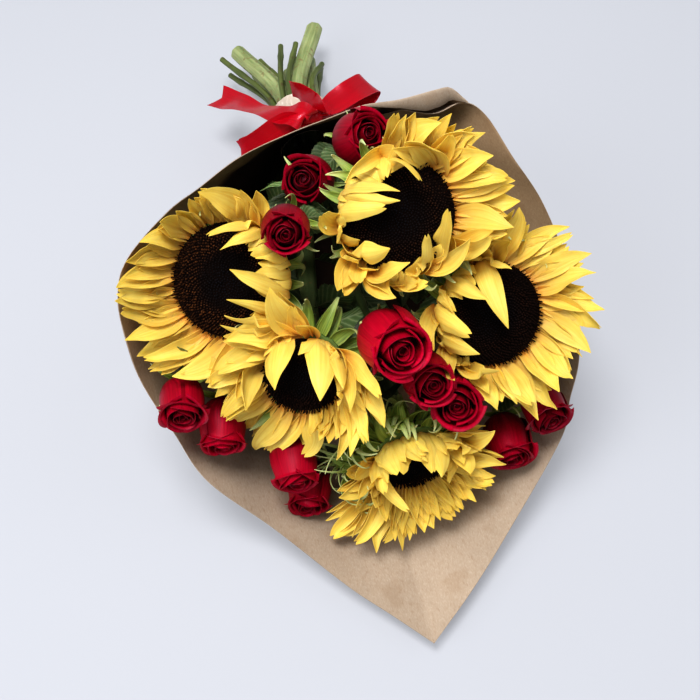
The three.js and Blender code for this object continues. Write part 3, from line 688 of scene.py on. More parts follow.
# Each ray that shows in the photograph: the pixels of its root and tip, its reach from root to
# tip with a minus where it leans away from the camera, and its width.
Ray = namedtuple("Ray", "root_x root_y tip_x tip_y reach width")
RAYS = {
    "sunflower_left": [
        (207, 224, 190, 199, 42, 13), (192, 231, 160, 222, 44, 16), (184, 240, 140, 242, 46, 15),
        (176, 252, 127, 262, 51, 15), (171, 271, 117, 286, 59, 18), (172, 291, 115, 300, 58, 18),
        (178, 309, 122, 309, 52, 18), (182, 316, 125, 339, 56, 15), (200, 332, 138, 357, 53, 17),
        (205, 336, 145, 362, 53, 13), (210, 338, 152, 374, 54, 13), (248, 229, 201, 190, 52, 19),
        (257, 233, 208, 235, 46, 12), (257, 237, 220, 249, 44, 14), (256, 228, 239, 190, 42, 9),
        (257, 232, 257, 191, 42, 13), (286, 290, 229, 271, 48, 18), (281, 305, 227, 300, 44, 9),
        (280, 312, 224, 315, 44, 14), (276, 322, 221, 325, 44, 11), (232, 339, 172, 376, 54, 17),
        (238, 341, 208, 384, 46, 15), (208, 337, 163, 377, 50, 15),
    ],
    "sunflower_top": [
        (452, 206, 520, 202, 49, 19), (453, 219, 514, 228, 48, 18), (448, 190, 515, 180, 50, 15),
        (445, 182, 507, 176, 48, 17), (437, 172, 493, 155, 48, 20), (430, 165, 485, 132, 50, 14),
        (428, 163, 473, 132, 46, 17), (420, 160, 452, 114, 46, 11), (396, 152, 441, 123, 46, 20),
        (391, 152, 394, 113, 42, 14), (391, 152, 416, 113, 44, 15), (442, 165, 408, 140, 44, 22),
        (432, 160, 392, 150, 42, 16), (381, 164, 421, 180, 46, 21), (348, 192, 400, 192, 48, 13),
        (347, 196, 400, 202, 48, 10), (342, 215, 386, 206, 44, 15), (345, 250, 390, 249, 42, 19),
        (352, 262, 336, 290, 46, 17), (370, 270, 410, 263, 42, 18), (372, 274, 396, 298, 42, 17),
        (400, 276, 428, 284, 38, 15), (418, 267, 425, 234, 38, 13), (432, 253, 449, 210, 46, 19),
        (390, 153, 344, 181, 44, 14), (342, 225, 322, 214, 34, 16), (440, 245, 490, 236, 44, 16),
        (420, 262, 470, 238, 46, 14),
    ],
    "sunflower_right": [
        (500, 268, 568, 226, 54, 14), (530, 275, 591, 253, 51, 15), (538, 286, 595, 271, 50, 17),
        (540, 292, 604, 311, 52, 15), (540, 300, 602, 329, 52, 18), (537, 315, 591, 353, 50, 16),
        (528, 335, 572, 381, 48, 16), (520, 345, 558, 392, 47, 18), (515, 350, 554, 412, 52, 16),
        (505, 358, 539, 420, 52, 18), (500, 362, 533, 404, 46, 18), (480, 368, 499, 410, 44, 15),
        (440, 350, 453, 380, 40, 15), (427, 307, 470, 336, 44, 16), (437, 333, 480, 354, 44, 16),
        (458, 362, 500, 370, 42, 15), (427, 308, 431, 351, 44, 13), (447, 290, 453, 312, 28, 9),
        (448, 280, 488, 300, 46, 15), (481, 268, 509, 328, 54, 19), (481, 268, 511, 270, 34, 10),
        (495, 265, 522, 208, 48, 17), (478, 268, 486, 249, 26, 13),
    ],
    "sunflower_middle": [
        (303, 336, 268, 288, 48, 19), (296, 338, 226, 341, 52, 20), (280, 347, 216, 372, 48, 20),
        (266, 356, 207, 385, 44, 17), (264, 362, 215, 398, 42, 16), (264, 372, 221, 416, 42, 16),
        (266, 378, 222, 415, 42, 14), (264, 362, 247, 410, 48, 17), (284, 340, 275, 388, 50, 26),
        (316, 340, 298, 355, 26, 14), (318, 342, 320, 400, 52, 24), (330, 350, 343, 389, 44, 14),
        (332, 352, 337, 410, 50, 13), (338, 356, 350, 413, 50, 14), (342, 352, 381, 394, 48, 15),
        (348, 366, 386, 427, 52, 17), (344, 378, 367, 442, 50, 14), (340, 385, 350, 455, 50, 12),
        (335, 388, 336, 460, 50, 13), (325, 400, 319, 441, 36, 11), (318, 404, 310, 436, 34, 11),
        (310, 407, 289, 441, -40, 18), (300, 408, 272, 457, -44, 18), (288, 405, 254, 450, -44, 16),
        (280, 402, 253, 439, -42, 14),
    ],
    "sunflower_front": [
        (461, 430, 495, 430, 44, 19), (471, 445, 506, 464, 46, 18), (446, 430, 471, 449, 36, 16),
        (450, 440, 470, 474, 42, 15), (474, 464, 494, 486, 44, 15), (468, 472, 483, 488, 40, 10),
        (461, 476, 476, 501, 40, 11), (452, 480, 464, 508, 40, 11), (424, 436, 441, 478, 48, 21),
        (443, 450, 448, 481, 40, 11), (402, 444, 422, 462, 38, 15), (389, 440, 401, 473, 38, 24),
        (380, 452, 385, 493, 38, 11), (388, 462, 408, 508, 46, 12), (376, 482, 387, 523, 40, 12),
        (378, 463, 346, 472, 28, 15), (368, 476, 338, 498, 38, 15), (372, 483, 376, 507, 30, 16),
        (370, 495, 325, 519, 50, 14), (372, 500, 332, 538, 57, 18), (376, 505, 355, 543, 52, 14),
        (382, 508, 374, 551, 52, 16), (395, 508, 401, 548, 48, 15), (402, 505, 410, 540, 43, 10),
        (398, 503, 402, 533, 38, 12), (412, 500, 425, 533, 41, 18), (420, 498, 434, 531, 41, 17),
        (425, 495, 440, 519, 36, 11), (433, 490, 454, 519, 39, 19), (445, 485, 459, 511, 37, 13),
    ],
}


class Head:
    """A sunflower's own directions. Right and rise lie in its face: clock 0 is right, 90 rise."""

    def __init__(self, flower):
        self.centre = np.array(flower.centre, float)
        self.facing = unit(flower.faces)
        self.right = unit(np.cross(UP, self.facing))
        self.rise = np.cross(self.facing, self.right)

    def out(self, clock):
        return self.right * math.cos(clock) + self.rise * math.sin(clock)

    def at(self, clock, radius, height):
        return self.centre + self.out(clock) * radius + self.facing * height


# ---------------------------------------------------------------- stems: where they run
GAP = 0.3                # clearance between a stem and its flower
THICK_STEM_RADIUS = 7.9
THIN_STEM_RADIUS = 2.75
THICK_RING = 14.5        # radius on which the sunflower stems lie in the binding
THIN_RING = 22.3         # the same for the outer rose stems
THIN_SPREAD = 9.2        # degrees by which the two stems of a pair part, in one gap
CORE_RING = 3.6          # radius on which the rose stems in the middle lie
BOUND_BACK = 31          # between these two, measured along Y, the stems are parallel
BOUND_FRONT = -36
NECK_START = 0.35        # share of the way at which a stem starts to lean out
JOINT_SHARE = 0.2        # last share of the neck, straight into the head
SUNFLOWER_NECK = 40      # length over which a stem turns into its flower
ROSE_NECK = 22
RISE_STATIONS = 8
RECEPTACLE_TOP = -5      # heights are from the middle of a sunflower's face, along its facing
RECEPTACLE_DEPTH = 17
HIP_LENGTH = 9           # green cup under a rose
HIP_OVERLAP = 0.6        # share of it that the stem reaches into
BLOOM_LENGTH = 46


def slot_point(slot, y):
    radius, angle = slot
    angle = math.radians(angle)
    return np.array([radius * math.cos(angle), y, BIND_HEIGHT + radius * math.sin(angle)])


def stem_stations(cut, slot, foot, facing, neck):
    """A stem's line from its cut end, through its slot in the binding, to its flower's back."""
    front = slot_point(slot, BOUND_FRONT)
    bend = foot - facing * neck
    joint = foot - facing * neck * JOINT_SHARE
    rise = bezier(front, front + (bend - front) * NECK_START, bend, joint, RISE_STATIONS)
    return np.vstack([cut, slot_point(slot, BOUND_BACK), rise, foot])


def sunflower_path(flower):
    head = Head(flower)
    foot = head.centre + head.facing * (RECEPTACLE_TOP - RECEPTACLE_DEPTH - GAP)
    return stem_stations(flower.cut, (THICK_RING, flower.slot), foot, head.facing, SUNFLOWER_NECK)


def rose_path(rose):
    axis = unit(rose.faces)
    below = BLOOM_LENGTH * rose.size / 2 + GAP + HIP_LENGTH * HIP_OVERLAP
    return stem_stations(rose.cut, rose.slot, rose.centre - axis * below, axis, ROSE_NECK)


def on_stem(path, share):
    """A point of a stem's free part, and the stem's direction there."""
    place = 2 + share * (len(path) - 3)
    station = int(place)
    step = path[station + 1] - path[station]
    return path[station] + step * (place - station), unit(step)


# ---------------------------------------------------------------- ray petals
RAY_ROWS = 22
RAY_COLUMNS = 13
RAY_WIDTH = [(0, 0.6), (0.12, 0.78), (0.28, 0.95), (0.42, 1), (0.56, 0.93), (0.7, 0.74),
             (0.82, 0.5), (0.92, 0.24), (1, 0.02)]
SPLIT_WIDTH = RAY_WIDTH[:-3] + [(0.87, 0.58), (0.95, 0.38), (1, 0.2)]
RAY_FULLNESS = 1.04
RAY_WALL = 0.3
RAY_FLOOR = -4.1         # height at which a ray comes out from under the disc
RAY_SEAT = 33.5          # radius from which a ray's reach is measured
SPLIT_SHARE = 0.3        # rays with a split tip
SPLIT_DEPTH = 2.8
GROOVE = -0.5
GROOVE_PLACE = 0.36      # its place and width, as shares of the half width
GROOVE_WIDTH = 0.15
FOLDED_WIDTH = 0.88      # a ray that folds over the disc shows less of its width
PARTNER_SHARE = 0.62     # rays with a partner half hidden behind them
FRONT_PARTNERS = 2       # partners of each ray of the front flower, whose rays are crowded
BACK_SPACING = 0.2       # radians between the rays of the ring behind
BACK_NARROWEST = 0.07    # a smaller space between two rays gets none


def ray_petal(walls, root, tip, out, facing, width, rng, bow=0.0, shown=0.9):
    """A ray from its root to its tip. One whose tip lies over the disc rises before it folds over.
    Shown is how far it turns its face to the camera."""
    reach = np.linalg.norm(tip - root)
    chord = (tip - root) / reach
    back = (1 - chord @ out) / 2
    fold = rng.uniform(0.55, 1.1)
    leave = unit(chord + out * (0.15 + 1.5 * fold * back)
                 + facing * (0.1 + bow + 2.2 * fold * back**2))
    arrive = unit(2.0 * chord - leave + facing * rng.normal(-0.1, 0.3))
    line = bezier(root, root + leave * reach * 0.36, tip - arrive * reach * 0.34, tip, RAY_ROWS)
    along = np.linspace(0, 1, RAY_ROWS)
    aside = np.cross(unit(chord), facing)
    sway = rng.normal(0, 1.6) * np.sin(math.pi * along)
    sway = sway + rng.normal(0, 0.8) * np.sin(2 * math.pi * along)
    line = line + aside * sway[:, None]
    hook = ease(0.8, 1, along)[:, None]
    line = line + hook * (aside * rng.normal(0, 1.1) + facing * rng.normal(0.3, 1.2))
    ahead, sides = sides_along(line, np.cross(facing, leave))
    open_way = unit(np.cross(ahead, LOOK))
    open_way = open_way * np.sign((open_way * sides).sum(1, keepdims=True))
    sides = unit(sides + open_way * (shown * ease(0.05, 0.55, along))[:, None])
    twist = rng.normal(0, 0.42)
    sides = turned_about(sides, ahead, rng.normal(0, 0.15) + twist * along**1.5)
    split = rng.random() < SPLIT_SHARE
    shape = outline(SPLIT_WIDTH if split else RAY_WIDTH, along ** rng.uniform(0.8, 1.2))
    half = width / 2 * shape * RAY_FULLNESS
    across = np.linspace(1, -1, RAY_COLUMNS)
    beside = np.abs(across)
    hollow = 0.34 * (1 - along) ** 1.5 + rng.uniform(-0.05, 0.4)
    cup = hollow[:, None] * half[:, None] * (across**2 - 0.3)
    cup = cup + (half * rng.uniform(0, 0.3))[:, None] * (beside - 0.4)
    grooves = np.exp(-((beside - GROOVE_PLACE) / GROOVE_WIDTH) ** 2)
    rise = cup + GROOVE * grooves * np.sin(math.pi * along**0.7)[:, None]
    for edge in (-1, 1):
        size = rng.uniform(0.3, 1.3)
        wave = size * np.sin(2 * math.pi * (along * rng.uniform(1.0, 2.4) + rng.random()))
        rise = rise + (wave * np.sin(math.pi * along))[:, None] * np.clip(across * edge, 0, 1) ** 2
    front = blade(line, sides, half, across, np.cross(ahead, sides), rise)
    if split:
        pulled = SPLIT_DEPTH * ease(0.86, 1, along)[:, None] * (1 - beside) ** 1.5
        front = front - ahead[:, None] * pulled[..., None]
    walls.add(front, RAY_WALL, rng.random())


def placed_ray(head, ray, disc):
    """Where a seen ray comes out from under its disc, and where its tip is."""
    seat = head.centre + head.facing * RAY_FLOOR
    hit = seen_on_plane((ray.root_x, ray.root_y), seat, head.facing) - seat
    clock = math.atan2(hit @ head.rise, hit @ head.right)
    out = head.out(clock)
    tip = seen_at_reach((ray.tip_x, ray.tip_y), seat + out * RAY_SEAT, ray.reach)
    root = seat + out * np.clip(np.linalg.norm(hit), disc - 0.8, disc + 1.0)
    return clock, out, root, tip


def seen_rays(walls, flower, head, rng):
    """The rays that show, some with partners. Returns the clock and way of each, in order."""
    seen = []
    for row in RAYS[flower.name]:
        ray = Ray(*row)
        clock, out, root, tip = placed_ray(head, ray, flower.disc)
        side = np.cross(head.facing, out)
        way = tip - root
        folded = way @ out < 0
        lifted = root + head.facing * rng.uniform(-0.5, 0.9)
        width = ray.width * (FOLDED_WIDTH if folded else 1)
        ray_petal(walls, lifted, tip, out, head.facing, width, rng)
        partners = 0 if folded else int(rng.random() < PARTNER_SHARE)
        for behind in range(FRONT_PARTNERS if flower.name == "sunflower_front" else partners):
            shift = side * rng.choice((-1, 1)) * rng.uniform(3, 6)
            under = head.facing * (rng.uniform(1.2, 2.2) + behind)
            end = tip - way * rng.uniform(0.02, 0.14) + shift * rng.uniform(0.8, 1.5) - under
            ray_petal(walls, root + shift * 0.7 - under, end, out, head.facing,
                      ray.width * rng.uniform(0.65, 0.9), rng, 0.0, 0.6)
        seen.append((clock % (2 * math.pi), np.array([way @ out, way @ side, way @ head.facing])))
    return sorted(seen, key=lambda ray: ray[0])


def sunflower_rays(flower):
    head = Head(flower)
    rng = np.random.default_rng(flower.seed)
    walls = Walls()
    seen = seen_rays(walls, flower, head, rng)
    # a second ring behind fills the spaces between the rays that are seen
    for (clock, way), (next_clock, next_way) in zip(seen, seen[1:] + seen[:1]):
        space = (next_clock - clock) % (2 * math.pi)
        count = max(1 if space > BACK_NARROWEST else 0, round(space / BACK_SPACING))
        for k in range(count):
            part = (k + 1) / (count + 1)
            mean = way * (1 - part) + next_way * part
            mean = unit(mean) * (rng.uniform(36, 42) if mean[0] > 10 else rng.uniform(26, 32))
            angle = clock + space * part
            out = head.out(angle)
            side = np.cross(head.facing, out)
            root = head.at(angle, flower.disc + 0.3, RAY_FLOOR - 1.2)
            sunk = head.facing * (mean[2] - rng.uniform(2, 6))
            tip = root + out * mean[0] + side * mean[1] * 0.7 + sunk
            ray_petal(walls, root, tip, out, head.facing, rng.uniform(12, 16), rng, -0.15, 0.3)
    carried(walls.piece(f"{flower.name}_rays", RAY_FINISH),
            [f"{flower.name}_ray_petals"])


# ---------------------------------------------------------------- disc florets
DISC_OUTLINE = [(0.0, 0.88), (0.5, 1.0), (0.8, 0.84), (0.93, 0.6), (1.0, 0.25)]
DISC_SEAT = -3.2
DISC_DOME = 8
BED_DEPTH = 0.6          # how far the bed lies under the foot of the florets
BED_FOOT = -4.6
BED_SIDES = 48
GOLDEN_ANGLE = 2.399963
FLORET_SHARE = 0.85      # florets, as a share of the square of the disc's radius
FLORET_LEAN = 0.75
FLORET_STRAY = 0.22
FLORET_SIZES = (0.75, 1.3)


def floret_tree():
    """Florets in the sunflower's spiral over its domed disc: tubes with two curled tips each."""
    tree, given = growing_tree("disc_florets", {
        "Count": 700, "Radius": 0.038, "Dome": 0.008, "Seat": -0.0032, "Length": 0.0028,
        "Width": 0.0008, "Pollen": 0.5, "Seed": 1,
    })
    index = node(tree, "GeometryNodeInputIndex").outputs[0]
    share = math_node(tree, "DIVIDE", math_node(tree, "ADD", index, 0.5), given["Count"])
    reach = math_node(tree, "SQRT", share)
    angle = times(tree, index, GOLDEN_ANGLE)
    radius = times(tree, reach, given["Radius"])
    east, north = math_node(tree, "COSINE", angle), math_node(tree, "SINE", angle)
    dome = node(tree, "ShaderNodeFloatCurve", {"Value": reach})
    curve = dome.mapping.curves[0]
    curve.points[0].location, curve.points[-1].location = DISC_OUTLINE[0], DISC_OUTLINE[-1]
    for place, height in DISC_OUTLINE[1:-1]:
        curve.points.new(place, height)
    dome.mapping.update()
    height = math_node(tree, "ADD", times(tree, dome.outputs[0], given["Dome"]), given["Seat"])
    place = vector_of(tree, times(tree, radius, east), times(tree, radius, north), height)
    line = node(tree, "GeometryNodeMeshLine", {"Count": given["Count"]})
    spiral = node(tree, "GeometryNodeSetPosition", {"Geometry": line.outputs[0], "Position": place})
    lean = times(tree, math_node(tree, "POWER", reach, 8.0), FLORET_LEAN)
    stray = random_value(tree, given["Seed"], (-FLORET_STRAY, -FLORET_STRAY, 0.0),
                         (FLORET_STRAY, FLORET_STRAY, 0.0))
    upright = vector_of(tree, times(tree, lean, east), times(tree, lean, north), 1.0)
    way = sum_of(tree, upright, stray)
    tube = node(tree, "GeometryNodeMeshCone", {
        "Vertices": 6, "Radius Top": 0.62, "Radius Bottom": 0.5, "Depth": 1.0,
    })
    floret = node(tree, "GeometryNodeJoinGeometry")
    feed(tree, floret.inputs[0], tube.outputs[0])
    for side in (-1, 1):
        horn = node(tree, "GeometryNodeMeshCone", {
            "Vertices": 4, "Radius Top": 0.08, "Radius Bottom": 0.28, "Depth": 0.5,
        })
        bent = node(tree, "GeometryNodeTransform", {
            "Geometry": horn.outputs[0], "Translation": (0.2 * side, 0.1 * side, 0.92),
            "Rotation": (0.0, 0.6 * side, 0.4),
        })
        feed(tree, floret.inputs[0], bent.outputs[0])
    size = random_value(tree, math_node(tree, "ADD", given["Seed"], 5.0), *FLORET_SIZES)
    grown_share = map_range(tree, reach, 0.55, 1.0, 0.3, 0.95)
    tall = times(tree, times(tree, size, grown_share), given["Length"])
    wide = times(tree, size, given["Width"])
    scale = vector_of(tree, wide, wide, tall)
    shape = planted(tree, spiral.outputs[0], floret.outputs[0], way, scale)
    chance = random_value(tree, math_node(tree, "ADD", given["Seed"], 9.0), 0.0, 1.0)
    mark = vector_of(tree, reach, chance, given["Pollen"])
    marked = stored(tree, shape, "mark", mark, domain="INSTANCE")
    return finished_tree(tree, marked, given["Material"])


FLORETS = floret_tree()


def sunflower_florets(flower):
    head = Head(flower)
    rings = [[head.at(angle, flower.disc * 0.8, BED_FOOT) for angle in round_angles(BED_SIDES)]]
    for share in (1.0, 0.93, 0.8, 0.5, 0.2):
        height = np.interp(share, *zip(*DISC_OUTLINE)) * DISC_DOME + DISC_SEAT - BED_DEPTH
        rings.append([head.at(angle, flower.disc * share, height)
                      for angle in round_angles(BED_SIDES)])
    bed = Walls()
    bed.solid(rings)
    carried(bed.piece(f"{flower.name}_disc_bed", DISC_FINISH),
            [f"{flower.name}_disc"])
    piece = grown(f"{flower.name}_florets", FLORETS, {
        "Count": int(FLORET_SHARE * flower.disc**2), "Radius": (flower.disc - 0.6) / 1000,
        "Dome": DISC_DOME / 1000, "Seat": (DISC_SEAT + 0.4) / 1000, "Length": 0.0026,
        "Width": 0.00075, "Pollen": flower.pollen, "Seed": flower.seed, "Material": FLORET_FINISH,
    })
    piece.data.transform(standing(head.right, head.rise, head.facing, metres(head.centre)))
    carried(piece)


# ---------------------------------------------------------------- green bracts behind a sunflower
BRACT_WIDTH = [(0, 0.85), (0.15, 1), (0.32, 0.84), (0.5, 0.56), (0.68, 0.34), (0.86, 0.17),
               (1, 0.03)]
BRACT_COLUMNS = 7
BRACT_WALL = 0.45
BRACT_RINGS = ((32.5, -6.5, 15), (30, -10, 14), (25, -15, 11))    # radius, height, count
FORWARD_SHARE = 0.6      # bracts that curl forwards, not back
FRONT_CURLS = 46         # more bracts at the front flower's back, where they show as a thick roll
FRONT_THIN_CURLS = 16


def bract(walls, root, out, facing, length, width, curl, sway, rng, rows=22):
    """A pointed bract that leaves along out and curls by so many degrees towards facing."""
    along = np.linspace(0, 1, rows)
    side = np.cross(facing, out)
    bend = np.radians(curl) * along**1.8
    step = out * np.cos(bend)[:, None] + facing * np.sin(bend)[:, None]
    step = step + side * (sway * along)[:, None]
    line = root + np.vstack([np.zeros(3), np.cumsum(unit(step[:-1]) * length / (rows - 1), axis=0)])
    ahead, sides = sides_along(line, side)
    sides = turned_about(sides, ahead, rng.normal(0, 0.5) * along)
    half = width / 2 * outline(BRACT_WIDTH, along)
    across = np.linspace(1, -1, BRACT_COLUMNS)
    fold = half[:, None] * 0.5 * (across**2 - 0.3)
    walls.add(blade(line, sides, half, across, np.cross(ahead, sides), fold), BRACT_WALL,
              rng.random())


def head_bract(walls, head, clock, lean, seat, length, width, curl, sway, rng):
    """A bract on a sunflower's back. Seat is its radius and height, lean how much it points
    ahead."""
    out = unit(head.out(clock) + head.facing * lean)
    upward = unit(np.cross(out, np.cross(head.facing, out)))
    bract(walls, head.at(clock, *seat), out, upward, length, width, curl, sway, rng)


def either_way(rng):
    return 1 if rng.random() < FORWARD_SHARE else -1


def sunflower_bracts(flower):
    head = Head(flower)
    rng = np.random.default_rng(flower.seed + 40)
    walls = Walls()
    front = flower.name == "sunflower_front"
    more_curl, more_length = (1.5, 1.1) if front else (1.0, 1.0)
    for ring, (radius, height, count) in enumerate(BRACT_RINGS):
        for k in range(count):
            clock = 2 * math.pi * (k + 0.5 * ring + rng.uniform(-0.2, 0.2)) / count
            curl = rng.uniform(60, 170) * either_way(rng) * more_curl
            length = rng.uniform(26, 38) * more_length
            head_bract(walls, head, clock, -(0.1 + 0.3 * ring), (radius, height), length,
                       rng.uniform(7.5, 11), curl, rng.normal(0, 0.5), rng)
    for k in range(FRONT_CURLS if front else 0):
        clock = math.radians(rng.uniform(15, 110) if k % 3 == 0 else rng.uniform(85, 215))
        lean, seat = rng.uniform(-0.6, 0.1), (rng.uniform(29, 33), rng.uniform(-12, -6))
        curl = rng.uniform(120, 330) * either_way(rng)
        head_bract(walls, head, clock, lean, seat, rng.uniform(34, 54), rng.uniform(5.5, 8.5),
                   curl, rng.normal(0, 0.9), rng)
    for k in range(FRONT_THIN_CURLS if front else 0):
        clock = math.radians(rng.uniform(140, 205))
        lean, seat = rng.uniform(-0.5, 0.3), (rng.uniform(29, 33), rng.uniform(-12, -6))
        head_bract(walls, head, clock, lean, seat, rng.uniform(46, 64), rng.uniform(3.5, 6),
                   rng.uniform(-200, 200), rng.normal(0, 0.7), rng)
    carried(walls.piece(f"{flower.name}_bracts", BRACT_FINISH))
    cup = frame["nodes"][f"{flower.name}_receptacle"].data.materials
    cup.clear()
    cup.append(RECEPTACLE_FINISH)


# ---------------------------------------------------------------- sunflower stems
STALK_STEPS = 90
STALK_SIDES = 48
STALK_TRIM = 0.35        # kept off the radius for its ridges and bumps
CUT_SHARES = np.array([1.0, 0.93, 0.8, 0.6, 0.35, 0.1])    # rings of the cut face, from the rim
CUT_ROUGHNESS = 0.08
HAIR_START = 26          # the stems have their hairs from here to their cut end, along Y
HAIR_SIZES = (0.5, 1.3)
HAIR_STRAY = 0.5


def hair_tree():
    """Short stiff hairs that stand out of a surface."""
    tree, given = growing_tree("stem_hairs", {
        "Density": 60000.0, "Length": 0.0012, "Thickness": 0.00005, "Seed": 1,
    })
    spots = node(tree, "GeometryNodeDistributePointsOnFaces", {
        "Mesh": given["Geometry"], "Density": given["Density"], "Seed": given["Seed"],
    })
    hair = node(tree, "GeometryNodeMeshCone", {
        "Vertices": 3, "Radius Top": 0.0, "Radius Bottom": given["Thickness"],
        "Depth": given["Length"],
    })
    size = random_value(tree, given["Seed"], *HAIR_SIZES)
    other_seed = math_node(tree, "ADD", given["Seed"], 3.0)
    stray = random_value(tree, other_seed, (-HAIR_STRAY,) * 3, (HAIR_STRAY,) * 3)
    way = sum_of(tree, spots.outputs["Normal"], stray)
    shape = planted(tree, spots.outputs[0], hair.outputs[0], way, size)
    return finished_tree(tree, shape, given["Material"])


HAIRS = hair_tree()


def thick_stem(flower):
    rng = np.random.default_rng(flower.seed + 70)
    line = smooth_line(sunflower_path(flower), STALK_STEPS)
    ahead, sides = sides_along(line, unit(np.cross(line[1] - line[0], UP)))
    others = np.cross(ahead, sides)
    around = round_angles(STALK_SIDES)
    along = np.linspace(0, 1, STALK_STEPS)
    ridges = 0.22 * np.cos(7 * around + rng.random() * 6)
    ridges = ridges + 0.12 * np.cos(15 * around + 6 * along[:, None])
    bumps = 0.25 * np.sin(9 * along + rng.random() * 6)[:, None] * np.cos(2 * around)
    radius = THICK_STEM_RADIUS - STALK_TRIM + ridges + bumps
    rings = (line[:, None] + sides[:, None] * (radius * np.cos(around))[..., None]
             + others[:, None] * (radius * np.sin(around))[..., None])
    marks = even_marks(STALK_STEPS, STALK_SIDES, rng.uniform(0.3, 0.7))
    marks[..., 0] = np.abs(np.linspace(-1, 1, STALK_SIDES))
    marks[..., 1] *= STEM_MARK
    walls = Walls()
    walls.solid(rings[:, ::-1], marks)
    stalk = walls.piece(f"{flower.name}_stalk", THICK_STEM_FINISH)
    carried(stalk, [f"{flower.name}_stem"])
    cut_end(flower.name, line[0], ahead[0], rings[0], rng)
    outside = line[:, 1] > HAIR_START
    bare = Walls()
    bare.solid(rings[outside][:, ::-1], np.zeros((int(outside.sum()), STALK_SIDES, 3)))
    skin = bare.piece(f"{flower.name}_bare", THICK_STEM_FINISH)
    hairs = grown(f"{flower.name}_hairs", HAIRS, {
        "Density": 90000.0, "Length": 0.0013, "Thickness": 0.00007, "Seed": flower.seed,
        "Material": HAIR_FINISH,
    }, skin.data)
    bpy.data.objects.remove(skin)
    carried(hairs)


def cut_end(name, middle, ahead, rim, rng):
    """The cut end of a thick stem: a slightly ragged face with a green rim and pale pith."""
    rings = [middle + (rim - middle) * 0.9 + ahead * 2]
    for share in CUT_SHARES:
        rough = rng.normal(0, CUT_ROUGHNESS, STALK_SIDES)
        depth = 0.5 - 0.9 * (1 - share) ** 2 + rough if share < 1 else np.full(STALK_SIDES, -0.1)
        rings.append(middle + (rim - middle) * share - ahead * depth[:, None])
    marks = even_marks(len(rings), STALK_SIDES, 0.5)
    marks[..., 1] = np.concatenate([CUT_SHARES[:1], CUT_SHARES])[:, None]
    end = Walls()
    end.solid(rings, marks)
    carried(end.piece(f"{name}_cut_end", PITH_FINISH, crease=40))


# ---------------------------------------------------------------- roses
# Lean is how far, to the right and up as the camera sees it, the bloom's tip is off its straight
# line. Open runs from 0, a bud, to 1, and tone from 0, dark, to 1.
Rose = namedtuple("Rose", "centre faces slot cut size turn open tone lean")


def before(angle):
    """The slot of a pair's first stem, and below that of its second."""
    return (THIN_RING, angle - THIN_SPREAD)


def after(angle):
    return (THIN_RING, angle + THIN_SPREAD)


ROSES = [
    Rose((10, -182, 231), (0.1, -0.45, 0.89), (THIN_RING, 44),
         (33, 70, 42), 1.05, 20, 0.1, 0.55, (5, -6)),
    Rose((-28, -200, 207), (-0.2, -0.55, 0.81), before(116),
         (12, 92, 52), 1.0, 75, 0.15, 0.25, (-3, 2)),
    Rose((-52, -256, 241), (-0.05, -0.6, 0.8), after(116),
         (-2, 98, 46), 0.88, 130, 0.1, 0.25, (-4, -9)),
    Rose((2, -327, 188), (0.2, -0.8, 0.56), (CORE_RING, 120),
         (-24, 92, 37), 1.18, 215, 0.5, 0.78, (-3, 0)),
    Rose((25, -344, 150), (0.1, -0.85, 0.52), (CORE_RING, 240),
         (-15, 84, 30), 0.95, 260, 0.35, 0.45, (-4, 7)),
    Rose((52, -356, 128), (0.15, -0.88, 0.45), (CORE_RING, 0),
         (10, 96, 30), 0.92, 300, 0.75, 0.55, (-16, 10)),
    Rose((-148, -318, 146), (-0.2, -0.9, 0.3), before(188),
         (-60, 101, 38), 0.82, 10, 0.8, 0.5, (6, -4)),
    Rose((-120, -322, 106), (-0.1, -0.99, 0.05), after(188),
         (-54, 98, 18), 0.93, 55, 0.5, 0.75, (-2, -10)),
    Rose((-74, -352, 84), (-0.05, -0.98, 0.1), before(260),
         (-38, 92, 5), 0.94, 100, 0.35, 0.6, (0, -8)),
    Rose((-62, -358, 44), (-0.1, -0.99, 0.05), after(260),
         (-12, 96, 5), 0.9, 200, 0.4, 0.45, (-7, -6)),
    Rose((92, -362, 70), (0.15, -0.97, 0.2), before(332),
         (20, 92, 5), 0.94, 330, 0.6, 0.5, (-9, -8)),
    Rose((118, -352, 98), (0.25, -0.93, 0.25), after(332),
         (36, 92, 14), 0.85, 150, 0.75, 0.4, (-5, -8)),
]
BLOOM_RADIUS = 19.5
BUD_OUTLINE = [(0, 0.12), (0.05, 0.36), (0.12, 0.66), (0.22, 0.88), (0.4, 1.0), (0.6, 0.98),
               (0.78, 0.9), (0.92, 0.8), (1.0, 0.74)]
PETAL_ROWS = 24
PETAL_COLUMNS = 19
PETAL_BODY = 0.76        # share of a rose petal that climbs the bud, the rest being its rolled lip
PETAL_WALL = 0.4
PETAL_OVERLAP = 0.045    # how much farther out one edge of a petal lies than the other
HEART = ((0.2, 0.04), (0.62, 0.2), (0.8, 0.5), (0.6, 0.82), (0.1, 0.86))    # radius, height
HEART_RADIUS = 0.7
HEART_SIDES = 16


class Bud:
    """A rose's own foot, axis and size. Its bloom may lean off the line of its stem."""

    def __init__(self, rose, lean=(0, 0)):
        straight = unit(rose.faces)
        self.length = BLOOM_LENGTH * rose.size
        self.girth = BLOOM_RADIUS * rose.size
        self.base = rose.centre - straight * self.length / 2
        self.axis = unit(straight * self.length + LOOK_RIGHT * lean[0] + LOOK_UP * lean[1])
        self.east = unit(np.cross(UP, self.axis))
        self.north = np.cross(self.axis, self.east)

    def out(self, angle):
        angle = np.asarray(angle)[..., None]
        return self.east * np.cos(angle) + self.north * np.sin(angle)

    def ring(self, foot, height, radius, sides):
        return foot + self.axis * height + self.out(round_angles(sides)) * radius


